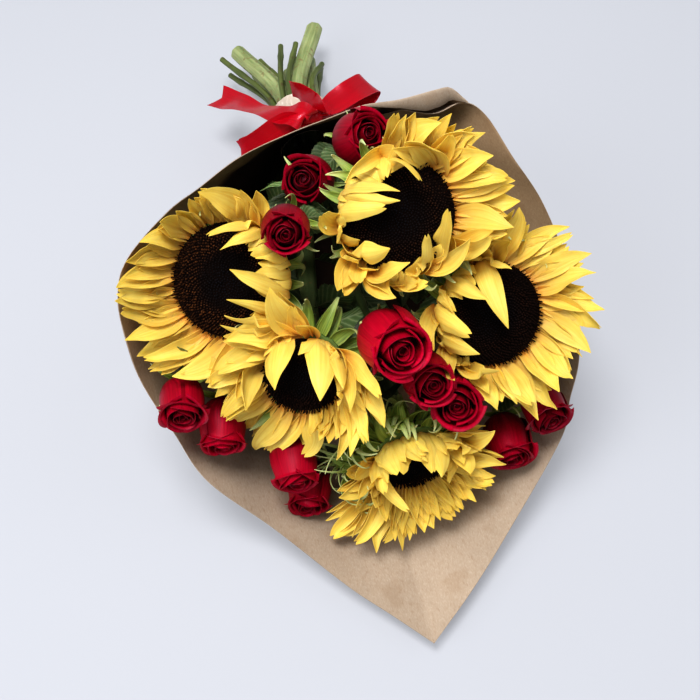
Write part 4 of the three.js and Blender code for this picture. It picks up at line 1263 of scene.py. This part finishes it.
def rose_petal(walls, rose, bud, turned, half_turn, shrink, top, roll, lip, rng, shade=0.0):
    """One petal of a bud: it follows the egg outline, overlaps its neighbours and rolls its lip
    out. Angles are in degrees."""
    v = np.linspace(0, 1, PETAL_ROWS)[:, None]
    u = np.linspace(1, -1, PETAL_COLUMNS)[None, :]
    rim = top - 0.10 * np.abs(u) ** 2.4 - 0.015 * np.sin(3 * u + rng.random() * 6)
    climb = np.minimum(v / PETAL_BODY, 1) * (rim - lip / bud.length * 0.55)
    share = outline(BUD_OUTLINE, np.clip(climb, 0, 1).ravel()).reshape(climb.shape)
    radius = bud.girth * (shrink * share + PETAL_OVERLAP * u * shrink**0.5)
    lean = np.clip((climb - 0.5) / 0.5, 0, 1) ** 2
    radius = radius * (1 - lean * (0.3 - 0.6 * rose.open))
    angle = math.radians(turned) + u * math.radians(half_turn) * (0.5 + 0.5 * ease(0, 0.45, climb))
    rolled = math.radians(roll)
    curl = np.maximum(v - PETAL_BODY, 0) / (1 - PETAL_BODY)
    curl = curl * rolled * (0.6 + 0.4 * np.abs(u) ** 1.5)
    bend = lip / max(rolled, 0.2)
    height = climb * bud.length + bend * np.sin(curl)
    radius = radius + bend * (1 - np.cos(curl))
    wobble = rng.uniform(0.2, 0.7) * np.sin(u * rng.uniform(3, 5) + rng.random() * 6)
    radius = radius + wobble * ease(0.5, 1, v)
    front = bud.base + bud.axis * height[..., None] + bud.out(angle) * radius[..., None]
    # shade lowers the tone of the petals within the bloom: painted shade
    walls.add(front, PETAL_WALL, np.clip(rose.tone - shade + rng.normal(0, 0.1), 0, 1))


def rose_bloom(index, rose):
    """A bloom of five outer petals with rolled lips, four within, and six darker in its heart; the
    inner petals' darkness is painted shade.
    """
    rng = np.random.default_rng(100 + index)
    bud = Bud(rose, rose.lean)
    walls = Walls()
    for k in range(5):
        rose_petal(walls, rose, bud, rose.turn + 144 * k, 64 + 6 * (k % 2), 0.97 - 0.035 * k,
                   0.95 + rng.uniform(-0.03, 0.03), 80 + 70 * rose.open + rng.uniform(-25, 15),
                   4.6 + 3 * rose.open + rng.uniform(-1, 1), rng)
    for k in range(4):
        rose_petal(walls, rose, bud, rose.turn + 40 + 100 * k, 70, 0.77 - 0.075 * k,
                   1.0 - 0.01 * k, 60 - 8 * k, 3.8, rng, 0.08 + 0.04 * k)
    for k in range(6):
        rose_petal(walls, rose, bud, rose.turn + 15 + 128 * k, 88 + 8 * k, 0.46 - 0.068 * k,
                   1.0 - 0.012 * k, 26, 2.0, rng, 0.26 + 0.05 * k)
    # a plug in the heart of the bud keeps it from showing hollow; its marks of zero make it the
    # darkest red, a painted shade
    rings = [bud.ring(bud.base, bud.length * height, bud.girth * share * HEART_RADIUS, HEART_SIDES)
             for share, height in HEART]
    walls.solid(rings, np.zeros((len(HEART), HEART_SIDES, 3)))
    carried(walls.piece(f"rose_{index}_petals", ROSE_FINISH), [f"rose_{index}_bloom"])


THIN_STEM_STEPS = 60     # points of a stem's line, and below those of the tube along it
THIN_TUBE_STEPS = 90
THIN_TUBE_SIDES = 14
SEPAL_ROWS = 18
HIP_RADIUS = 5.5
HIP_SIDES = 20
HIP_OUTLINE = ((0.35, 0.0), (0.7, 0.2), (1.0, 0.5), (0.98, 0.75), (0.8, 1.0))    # radius, height


def stem_tree():
    """A thin stem along a curve, with a few swollen nodes, closed at both ends."""
    tree, given = growing_tree("thin_stem", {
        "Radius": 0.00275, "Nodes": 5.0, "Swelling": 0.18, "Sides": 14, "Steps": 90, "Tone": 0.5,
    })
    path = node(tree, "GeometryNodeMeshToCurve", {"Mesh": given["Geometry"]})
    even = node(tree, "GeometryNodeResampleCurve",
                {"Curve": path.outputs[0], "Count": given["Steps"]})
    factor = node(tree, "GeometryNodeSplineParameter").outputs["Factor"]
    wave = math_node(tree, "SINE", times(tree, times(tree, factor, given["Nodes"]), 2 * math.pi))
    peak = math_node(tree, "POWER", math_node(tree, "MAXIMUM", wave, 0.0), 12.0)
    swell = math_node(tree, "ADD", times(tree, peak, given["Swelling"]), 0.94)
    ring = node(tree, "GeometryNodeCurvePrimitiveCircle", {
        "Resolution": given["Sides"], "Radius": given["Radius"],
    })
    swept = node(tree, "GeometryNodeCurveToMesh", {
        "Curve": stored(tree, even.outputs[0], "along", factor, "FLOAT"),
        "Profile Curve": stored(tree, ring.outputs[0], "around", factor, "FLOAT"),
        "Scale": swell, "Fill Caps": True,
    })
    around = node(tree, "GeometryNodeInputNamedAttribute", {"Name": "around"}, data_type="FLOAT")
    along = node(tree, "GeometryNodeInputNamedAttribute", {"Name": "along"}, data_type="FLOAT")
    lengthwise = times(tree, along.outputs[0], STEM_MARK)
    mark = vector_of(tree, around.outputs[0], lengthwise, given["Tone"])
    marked = stored(tree, swept.outputs[0], "mark", mark)
    soft = node(tree, "GeometryNodeSetShadeSmooth", {"Geometry": marked})
    return finished_tree(tree, soft.outputs[0], given["Material"])


STEMS = stem_tree()


def rose_stem(index, rose):
    name = f"rose_{index}"
    rng = np.random.default_rng(200 + index)
    line = smooth_line(rose_path(rose), THIN_STEM_STEPS)
    path = bpy.data.meshes.new(name + "_line")
    path.from_pydata(metres(line).tolist(), [(k, k + 1) for k in range(len(line) - 1)], [])
    stalk = grown(f"{name}_stalk", STEMS, {
        "Radius": THIN_STEM_RADIUS / 1000, "Nodes": 3.0 + rng.random() * 3, "Swelling": 0.22,
        "Sides": THIN_TUBE_SIDES, "Steps": THIN_TUBE_STEPS, "Tone": float(rng.uniform(0.2, 0.8)),
        "Material": THIN_STEM_FINISH,
    }, path)
    carried(stalk, [f"{name}_stem"])
    rose_calyx(name, rose, rng)


def rose_calyx(name, rose, rng):
    """The green cup under a rose, with five sepals that stand out or fold back."""
    bud = Bud(rose)
    cup_top = bud.base - bud.axis * GAP
    walls = Walls()
    walls.solid([bud.ring(cup_top, HIP_LENGTH * (height - 1), HIP_RADIUS * share, HIP_SIDES)
                 for share, height in HIP_OUTLINE])
    for k in range(5):
        out = bud.out(2 * math.pi * (k + rng.uniform(-0.1, 0.1)) / 5)
        back = rng.uniform(0.1, 1.1)
        leave = unit(out + bud.axis * (0.5 - back * 0.5))
        curl = rng.uniform(40, 170) * (1 if back < 0.5 else -1)
        upward = unit(np.cross(leave, np.cross(bud.axis, leave)))
        bract(walls, cup_top + out * HIP_RADIUS * 0.7, leave, upward, rng.uniform(22, 32),
              rng.uniform(4.5, 7), curl, rng.normal(0, 0.35), rng, SEPAL_ROWS)
    carried(walls.piece(f"{name}_calyx", BRACT_FINISH))


# ---------------------------------------------------------------- leaves
# Each of the six leaves that the photograph shows or hides: the stem it grows on, how far along
# the stem's free part, the way it points, its length, half width and droop.
Leaf = namedtuple("Leaf", "stem at points length half droop")
LEAVES = [
    Leaf("sunflower_middle", 0.72, (0.75, -0.45, 0.6), 58, 15, 10),
    Leaf("sunflower_top", 0.62, (0.6, -0.5, -0.1), 52, 15, 6),
    Leaf("rose_6", 0.78, (0.9, -0.3, 0.35), 40, 11, 6),
    Leaf("sunflower_front", 0.72, (-0.85, -0.3, 0.5), 56, 15, 12),
    Leaf("sunflower_left", 0.6, (0.5, -0.3, 0.8), 54, 14, 12),
    Leaf("rose_2", 0.72, (-0.8, -0.2, 0.3), 40, 10, 8),
]
LEAF_ROWS = 46
LEAF_COLUMNS = 9
LEAF_WIDTH = [(0, 0.05), (0.1, 0.08), (0.16, 0.45), (0.3, 0.85), (0.45, 1), (0.62, 0.86),
              (0.8, 0.52), (0.92, 0.22), (1, 0.03)]
LEAF_WALL = 0.35
LEAF_TEETH = 9
TOOTH_DEPTH = 0.14
TOOTHED = (0.14, 0.97)   # shares of the length between which a leaf has teeth
LEAF_FOLD = 0.3


def path_of(name):
    """The line of a stem by its name, and its radius."""
    if name.startswith("rose"):
        return rose_path(ROSES[int(name.split("_")[1]) - 1]), THIN_STEM_RADIUS
    return sunflower_path(next(f for f in SUNFLOWERS if f.name == name)), THICK_STEM_RADIUS


def leaf_blade(walls, root, out, across, length, half, droop, rng, tone):
    """A pointed leaf with a toothed edge, folded along its spine, on a short stalk."""
    along = np.linspace(0, 1, LEAF_ROWS)
    line = root + out * (length * along)[:, None] - UP * (droop * along**2)[:, None]
    ahead, sides = sides_along(line, across)
    shape = outline(LEAF_WIDTH, along)
    teeth = ((along * LEAF_TEETH * 2) % 1) * (along > TOOTHED[0]) * (along < TOOTHED[1])
    width = half * shape * (1 + TOOTH_DEPTH * teeth)
    u = np.linspace(1, -1, LEAF_COLUMNS)
    fold = np.abs(u) * width[:, None] * LEAF_FOLD
    ripple = 0.9 * np.sin(along * 2 * math.pi * 2.5 + rng.random() * 6)[:, None] * u**2
    rise = fold + ripple * shape[:, None]
    walls.add(blade(line, sides, width, u, np.cross(ahead, sides), rise), LEAF_WALL, tone)


def leaf_piece(index, leaf):
    path, radius = path_of(leaf.stem)
    root, along = on_stem(path, leaf.at)
    out = np.array(leaf.points, float)
    out = unit(out - along * (out @ along))
    rng = np.random.default_rng(300 + index)
    walls = Walls()
    leaf_blade(walls, root + out * radius, out, along, leaf.length, leaf.half, leaf.droop, rng,
               rng.uniform(0.75, 1))
    carried(walls.piece(f"leaf_blade_{index}", LEAF_FINISH), [f"leaf_{index}"])


def painted_shade_foliage(stem, places, lengths):
    """Darker leaves on a stem inside the cone, leaning forwards and towards the bunch's middle;
    their darkness is painted shade.
    """
    path, radius = path_of(stem)
    rng = np.random.default_rng(500 + sum(map(ord, stem)))
    walls = Walls()
    for place in places:
        root, along = on_stem(path, place)
        middle = np.array([0, root[1], BIND_HEIGHT + 0.45 * (BOUND_FRONT - root[1])])
        inward = unit(middle - root + rng.normal(0, 0.1, 3))
        angle = rng.uniform(-1.3, 1.3)
        out = inward * math.cos(angle) + np.cross(along, inward) * math.sin(angle)
        out = unit(out - along * (out @ along))
        lean = unit(out + along * rng.uniform(0.4, 1.0))
        facing = unit(np.cross(lean, np.cross(along, out)) + rng.normal(0, 0.3, 3))
        length = rng.uniform(*lengths)
        # their low tones make them dark: painted shade deep in the cone
        leaf_blade(walls, root + out * radius * 0.9, lean, np.cross(lean, facing), length,
                   length * rng.uniform(0.24, 0.32), length * 0.15, rng, rng.uniform(0.0, 0.35))
    carried(walls.piece(f"{stem}_leaves", LEAF_FINISH))


# ---------------------------------------------------------------- kraft paper
# The edge of the sheet round the mouth of the cone: turn round the neck, then x, y, z.
MOUTH = [
    (-160, 57, -131, 189), (-147, 80, -141, 190), (-138, 102, -140, 196),
    (-126, 117, -152, 191), (-112, 130, -185, 178), (-95, 146, -220, 160),
    (-80, 155, -267, 135), (-64, 151, -321, 107), (-52, 139, -348, 82),
    (-43, 128, -370, 62), (-20, 73, -424, 30), (-9, 38, -457, 22),
    (0, 0, -489, 18),
    (7, -25, -463, 20), (15, -53, -435, 24), (30, -98, -386, 41),
    (50, -140, -352, 76), (62, -157, -321, 102), (78, -171, -297, 140),
    (92, -174.5, -280.5, 174), (105, -172.5, -266.5, 208), (112, -161.5, -247.5, 222),
    (120, -131, -209, 214), (132, -106, -186, 206), (148, -72, -160, 201),
    (163, -32, -145, 200), (178, -1, -137, 200), (192, 27, -132, 202),
    (203, 53, -136, 206), (214, 81, -136, 210), (219, 93, -135, 208),
    (224, 104, -145, 201),
]
CORNER = 12              # the row of the sheet's corner
MOUTH_POINTS = (130, 190)    # points of its edge, before and after the corner
NECK_RADIUS = 27.3
NECK_BACK = -8           # where the neck begins and ends, along Y
NECK_FRONT = -34
NECK_CLEARANCE = 0.8
NECK_ROWS = 8
CONE_ROWS = 74
HEM_ROWS = 9
LAP_HEIGHT = 1.3         # how far the sheet winds outwards over its own edge
LAP_START = -130
LAP_TURN = 330
PAPER_WALL = 0.35
PAPER_SAG = 30           # how far the underside settles on the surface

# The turn, and how far the outer edge folds down there.
HEM = [(190, 0), (203, 6), (211, 14), (216, 13), (221, 6), (224, 0)]


def sheet_edge():
    """The mouth as a smooth line with its corner kept sharp: the turns, and the points."""
    rows = np.array(MOUTH, float)
    rows = np.concatenate([rows[:, 1:], rows[:, :1]], axis=1)
    left = smooth_line(rows[:CORNER + 1], MOUTH_POINTS[0])
    right = smooth_line(rows[CORNER:], MOUTH_POINTS[1])
    edge = np.vstack([left[:-1], right])
    return edge[:, 3], edge[:, :3]


def creases(angle, rates, scale, rng):
    waves = [rng.uniform(0.5, 1) * np.cos(rate * angle + rng.random() * 6) for rate in rates]
    return sum(waves) / scale


def kraft_sheet():
    turns, mouth = sheet_edge()
    angle = np.radians(turns)
    rng = np.random.default_rng(5)
    tucks = creases(angle, (7, 11, 17, 23), 2.4, rng)
    folds = creases(angle, (4, 6, 9), 1.8, rng)
    lap = LAP_HEIGHT * np.clip((turns - LAP_START) / LAP_TURN, 0, 1)
    radius = NECK_RADIUS + NECK_CLEARANCE + lap - PAPER_WALL + 0.3 * tucks
    outward = np.stack([-np.sin(angle), np.zeros_like(angle), -np.cos(angle)], 1)
    rows = [outward * radius[:, None] + (0, y, BIND_HEIGHT)
            for y in np.linspace(NECK_BACK, NECK_FRONT, NECK_ROWS + 1)]
    start = rows.pop()
    for part in np.linspace(0, 1, CONE_ROWS):
        row = start + (mouth - start) * part
        row[:, 2] -= PAPER_SAG * np.maximum(0, np.cos(angle)) * math.sin(math.pi * part)
        depth = 1.7 * math.sin(math.pi * min(part * 1.6, 1) ** 0.6) * (1 - part) + 0.1
        swell = 1.6 * math.sin(math.pi * part ** 0.8) * (1 - 0.5 * part)
        row = row + outward * (tucks * depth + folds * swell - 0.4)[:, None]
        row[:, 2] = np.maximum(row[:, 2], 0.0)
        rows.append(row)
    # the outer edge folds down at the top, over the sheet's other edge
    hem = np.interp(turns, *zip(*HEM)) + 0.3
    for part in np.linspace(0.12, 1, HEM_ROWS):
        forward = -hem * (0.28 * math.sin(part * math.pi * 0.62) + 0.12 * part)
        rows.append(mouth + np.stack([np.zeros_like(hem), forward, -hem * part**1.3], 1))
    grid = np.array(rows)
    outer = np.full(grid.shape, 0.5)
    outer[..., 0] = 0
    # painted shade: the folded-down hem gets a lower tone, darker where it faces away from the
    # light
    outer[-HEM_ROWS:, :, 2] -= 0.22 * np.clip(hem / 8, 0, 1)
    # painted shade: the inside grows darker towards the neck and away from the corner, with a
    # painted yellow bounce from the petals on the way
    inner = outer.copy()
    depth = np.concatenate([np.ones(NECK_ROWS), np.linspace(1, 0, CONE_ROWS)])
    shade = ease(0.3, 0.55, depth)[:, None]
    inner[:-HEM_ROWS, :, 0] = np.maximum(0.4 * ease(45, 100, np.abs(turns)), shade)
    walls = Walls()
    walls.add(grid, PAPER_WALL, marks=inner, back_marks=outer)
    piece = walls.piece("kraft_sheet", KRAFT_FINISH)
    carried(piece, ["kraft_wrap"])


# ---------------------------------------------------------------- tape round the stems
TAPE_RADIUS = 26.25
TAPE_WALL = 0.5
TAPE_ENDS = (15, -32.5)
TAPE_STEPS = 32
TAPE_SIDES = 120


def paper_tape():
    """A tube of tape in wound turns, with the lumps of the stems under it."""
    rng = np.random.default_rng(8)
    around = round_angles(TAPE_SIDES)
    phases = rng.random(6) * 6
    ys = np.linspace(*TAPE_ENDS, TAPE_STEPS)
    rings = []
    for y, inside in [(y, False) for y in ys] + [(y, True) for y in ys[::-1]]:
        lumps = 0.25 * np.cos(8 * around + phases[0])
        lumps = lumps + 0.2 * np.cos(13 * around + phases[1] + y * 0.03)
        turns = 0.22 * ((y * 0.11 + around / (2 * math.pi) + 5) % 1)
        crinkles = 0.1 * np.cos(31 * around + y * 0.4 + phases[2])
        radius = TAPE_RADIUS + lumps + (-TAPE_WALL if inside else turns + crinkles)
        height = BIND_HEIGHT + radius * np.sin(around)
        rings.append(np.stack([radius * np.cos(around), np.full_like(around, y), height], 1))
    points = np.array(rings).reshape(-1, 3)
    index = np.arange(len(points)).reshape(-1, TAPE_SIDES)
    above = np.roll(index, -1, axis=0)
    faces = np.stack([index, above, np.roll(above, -1, axis=1), np.roll(index, -1, axis=1)], -1)
    marks = np.full(points.shape, 0.5)
    piece = piece_from("tape_wrap", points, [faces.reshape(-1, 4)], TAPE_FINISH, marks)
    carried(piece, ["stem_tape"])


# ---------------------------------------------------------------- satin bow
RIBBON_WIDTH = 25
RIBBON_WALL = 0.35
RIBBON_PINCH = 7         # half its width where it comes out of the knot
RIBBON_ROWS = 90
RIBBON_COLUMNS = 21
RIPPLE_LENGTH = 34
NOTCH_ROWS = 16          # rows of a strip that its end's notch takes up
BAND_RADIUS = 31.6
BAND_PLACE = -22         # along Y
BAND_HALF = 9            # half its width, gathered
BAND_ROWS = 160
KNOT = np.array([5, -24, 78.8])
KNOT_SIZE = np.array([9.5, 8, 6])
KNOT_HALF = 8.4
KNOT_MOUTH = 0.55        # how far from its middle, as a share of its size, a strip comes out

# Each strip: the way it comes out of the knot and the way across it there, its (centre, across)
# stations from there, the way back into the knot of a loop, and how deep its end is notched.
Ribbon = namedtuple("Ribbon", "name out route back notch")
RIBBONS = [
    Ribbon("loop_right", ((0.85, 0.1, 0.35), (0.4, -0.8, 0.45)), [
        ((26, -22, 88), (0.5, -0.84, 0.1)), ((44, -15, 91), (0.55, -0.82, -0.1)),
        ((59, -4, 86), (0.56, -0.8, -0.2)), ((63.5, 0, 78), (0.56, -0.8, -0.2)),
        ((55, -6, 70), (0.54, -0.83, -0.1)), ((36, -18, 70), (0.4, -0.9, 0.1)),
    ], ((0.9, -0.1, -0.35), (0.3, -0.7, 0.4)), 0),
    Ribbon("loop_left", ((-0.85, -0.2, 0.3), (0.3, -0.8, 0.4)), [
        ((-18, -31, 80), (0.1, 0.45, 0.85)), ((-40, -36, 72), (0.05, 0.4, 0.9)),
        ((-60, -40, 62.5), (0.1, 0.4, 0.9)), ((-62, -35, 58.5), (0.1, 0.4, 0.9)),
        ((-46, -31, 59), (0.1, 0.35, 0.9)),
    ], None, 0),
    Ribbon("tail_left", ((-0.5, -0.6, 0.5), (0.9, 0.2, 0.35)), [
        ((-2, -34.5, 89), (0.92, 0.1, 0.35)), ((-10.5, -30, 90), (0.8, 0.45, 0.25)),
        ((-21.5, -22, 84), (0.42, 0.88, -0.2)), ((-38, -4, 75), (0.22, 0.85, -0.5)),
        ((-55, 15, 67), (0.3, 0.9, -0.3)), ((-72, 40, 53), (0.41, 0.91, 0)),
    ], None, 9),
    Ribbon("tail_middle", ((0.1, 0.3, 0.9), (0.9, -0.2, 0.4)), [
        ((8.5, -31, 91), (0.5, -0.3, 0.81)), ((6, -22, 95), (0.4, -0.35, 0.85)),
        ((-1.5, -13, 98), (0.32, -0.37, 0.87)), ((-10, -7, 98), (0.25, -0.4, 0.88)),
    ], None, 0),
]


def ribbon_grid(stations, rng, notch, rows):
    """A strip of ribbon along stations of (centre, across, half width), gathered where it is
    narrow, and its length."""
    table = [[*centre, *unit(across), half] for centre, across, half in stations]
    line = smooth_line(table, rows)
    centre, across, half = line[:, :3], line[:, 3:6], np.minimum(line[:, 6], RIBBON_WIDTH / 2)
    ahead = unit(np.gradient(centre, axis=0))
    across = unit(across - ahead * (across * ahead).sum(1, keepdims=True))
    length = length_of(centre)
    u = np.linspace(-1, 1, RIBBON_COLUMNS)
    gathered = np.clip(1 - half / (RIBBON_WIDTH / 2), 0, 1)
    pleat = 1.2 * gathered[:, None] * np.cos(3 * math.pi * u + rng.random() * 3)
    places = np.linspace(0, 1, rows)
    bow = 1.1 + 0.5 * np.sin(5 * places + rng.random() * 3)
    ripple = 0.5 * np.sin(2 * math.pi * places * length / RIPPLE_LENGTH + rng.random() * 6)
    rise = pleat + bow[:, None] * (0.4 - u**2) + ripple[:, None]
    grid = blade(centre, across, half, u, np.cross(ahead, across), rise)
    if notch:
        reach = np.clip(np.arange(rows) - (rows - NOTCH_ROWS), 0, None) / (NOTCH_ROWS - 1)
        cut = notch * (1 - np.abs(u)) - notch * 0.35
        grid = grid - ahead[:, None] * (reach[:, None] * cut)[..., None]
    return grid, length


def satin_piece(name, stations, rng, tone=None, notch=0, rows=RIBBON_ROWS):
    """One strip of the bow. The length of its middle line is measured but not used."""
    grid, length = ribbon_grid(stations, rng, notch, rows)
    walls = Walls()
    walls.add(grid, RIBBON_WALL, rng.random() if tone is None else tone)
    piece = walls.piece(f"satin_{name}", SATIN_FINISH)
    carried(piece, [f"ribbon_{name}"])


def knot_station(way, across):
    return KNOT + unit(way) * KNOT_SIZE * KNOT_MOUTH, across, RIBBON_PINCH


def satin_bow():
    rng = np.random.default_rng(21)
    for ribbon in RIBBONS:
        stations = [knot_station(*ribbon.out)]
        stations += [(centre, across, RIBBON_WIDTH / 2) for centre, across in ribbon.route]
        if ribbon.back:
            stations.append(knot_station(*ribbon.back))
        satin_piece(ribbon.name, stations, rng, notch=ribbon.notch)
    # the turn of ribbon that makes the knot, then the band round the paper's neck
    stations = []
    for angle in np.linspace(0, 2 * math.pi, 13):
        centre = KNOT + KNOT_SIZE * (0, 0.92 * math.cos(angle), 0.95 * math.sin(angle))
        stations.append((centre, (1, 0.12 * math.sin(angle), 0.1), KNOT_HALF))
    satin_piece("knot", stations, rng, tone=0.5)
    stations = []
    for angle in np.linspace(0, 2 * math.pi, 25):
        centre = (BAND_RADIUS * math.sin(angle), BAND_PLACE,
                  BIND_HEIGHT + BAND_RADIUS * math.cos(angle))
        stations.append((centre, (0, 1, 0), BAND_HALF))
    satin_piece("band", stations, rng, tone=0.5, rows=BAND_ROWS)


# ---------------------------------------------------------------- making
for flower in SUNFLOWERS:
    sunflower_rays(flower)
    sunflower_florets(flower)
    sunflower_bracts(flower)
    thick_stem(flower)
for index, rose in enumerate(ROSES, 1):
    rose_bloom(index, rose)
    rose_stem(index, rose)
for index, leaf in enumerate(LEAVES, 1):
    leaf_piece(index, leaf)
for flower in SUNFLOWERS:
    painted_shade_foliage(flower.name, (0.42, 0.52, 0.62, 0.7, 0.78, 0.86), (38, 56))
for index in range(1, len(ROSES) + 1):
    painted_shade_foliage(f"rose_{index}", (0.42, 0.54, 0.64, 0.74, 0.85), (30, 42))
kraft_sheet()
paper_tape()
satin_bow()

# ---------------------------------------------------------------- floor and light
FLOOR_REACH = 6.0        # metres from the middle to each side
FLOOR_DROP = 0.0005      # metres: a little more than the paper's wall, which lies under the bunch
LIGHT_AIM = (0.0, -0.1, 0.1)


def stage_floor():
    mesh = bpy.data.meshes.new("floor")
    corners = [(x * FLOOR_REACH, y * FLOOR_REACH, 0)
               for x, y in ((-1, -1), (1, -1), (1, 1), (-1, 1))]
    mesh.from_pydata(corners, [], [(0, 1, 2, 3)])
    material = bpy.data.materials.new("floor_pale")
    material.use_nodes = True
    inputs = material.node_tree.nodes["Principled BSDF"].inputs
    inputs["Base Color"].default_value = paint((150, 152, 158))
    inputs["Roughness"].default_value = 0.9
    inputs["Emission Color"].default_value = (0.825, 0.85, 0.915, 1.0)
    inputs["Emission Strength"].default_value = 0.285
    mesh.materials.append(material)
    floor = in_scene("floor", mesh)
    floor.location.z = -FLOOR_DROP


def lamp(name, place, size, power, colour):
    """A round soft light. Its place and size are in metres."""
    data = bpy.data.lights.new(name, "AREA")
    data.shape = "DISK"
    data.size = size
    data.energy = power
    data.color = colour
    away = unit(np.array(place) - LIGHT_AIM)
    side = unit(np.cross(UP, away))
    in_scene(name, data).matrix_world = standing(side, np.cross(away, side), away, place)


stage_floor()
lamp("light_top", (-0.3, -0.15, 2.1), 0.8, 36, (1.0, 0.99, 0.98))
lamp("light_right", (1.3, -0.3, 1.8), 1.5, 4, (0.98, 0.99, 1.0))
lamp("light_left", (-1.4, -0.7, 1.5), 1.5, 14, (0.98, 0.99, 1.0))
world = bpy.data.worlds.new("studio")
world.use_nodes = True
sky = world.node_tree.nodes["Background"].inputs
sky["Color"].default_value = (0.93, 0.95, 1.0, 1.0)
sky["Strength"].default_value = 0.35
bpy.context.scene.world = world
bpy.context.scene.view_settings.view_transform = "Standard"
bpy.context.scene.view_settings.look = "Medium High Contrast"
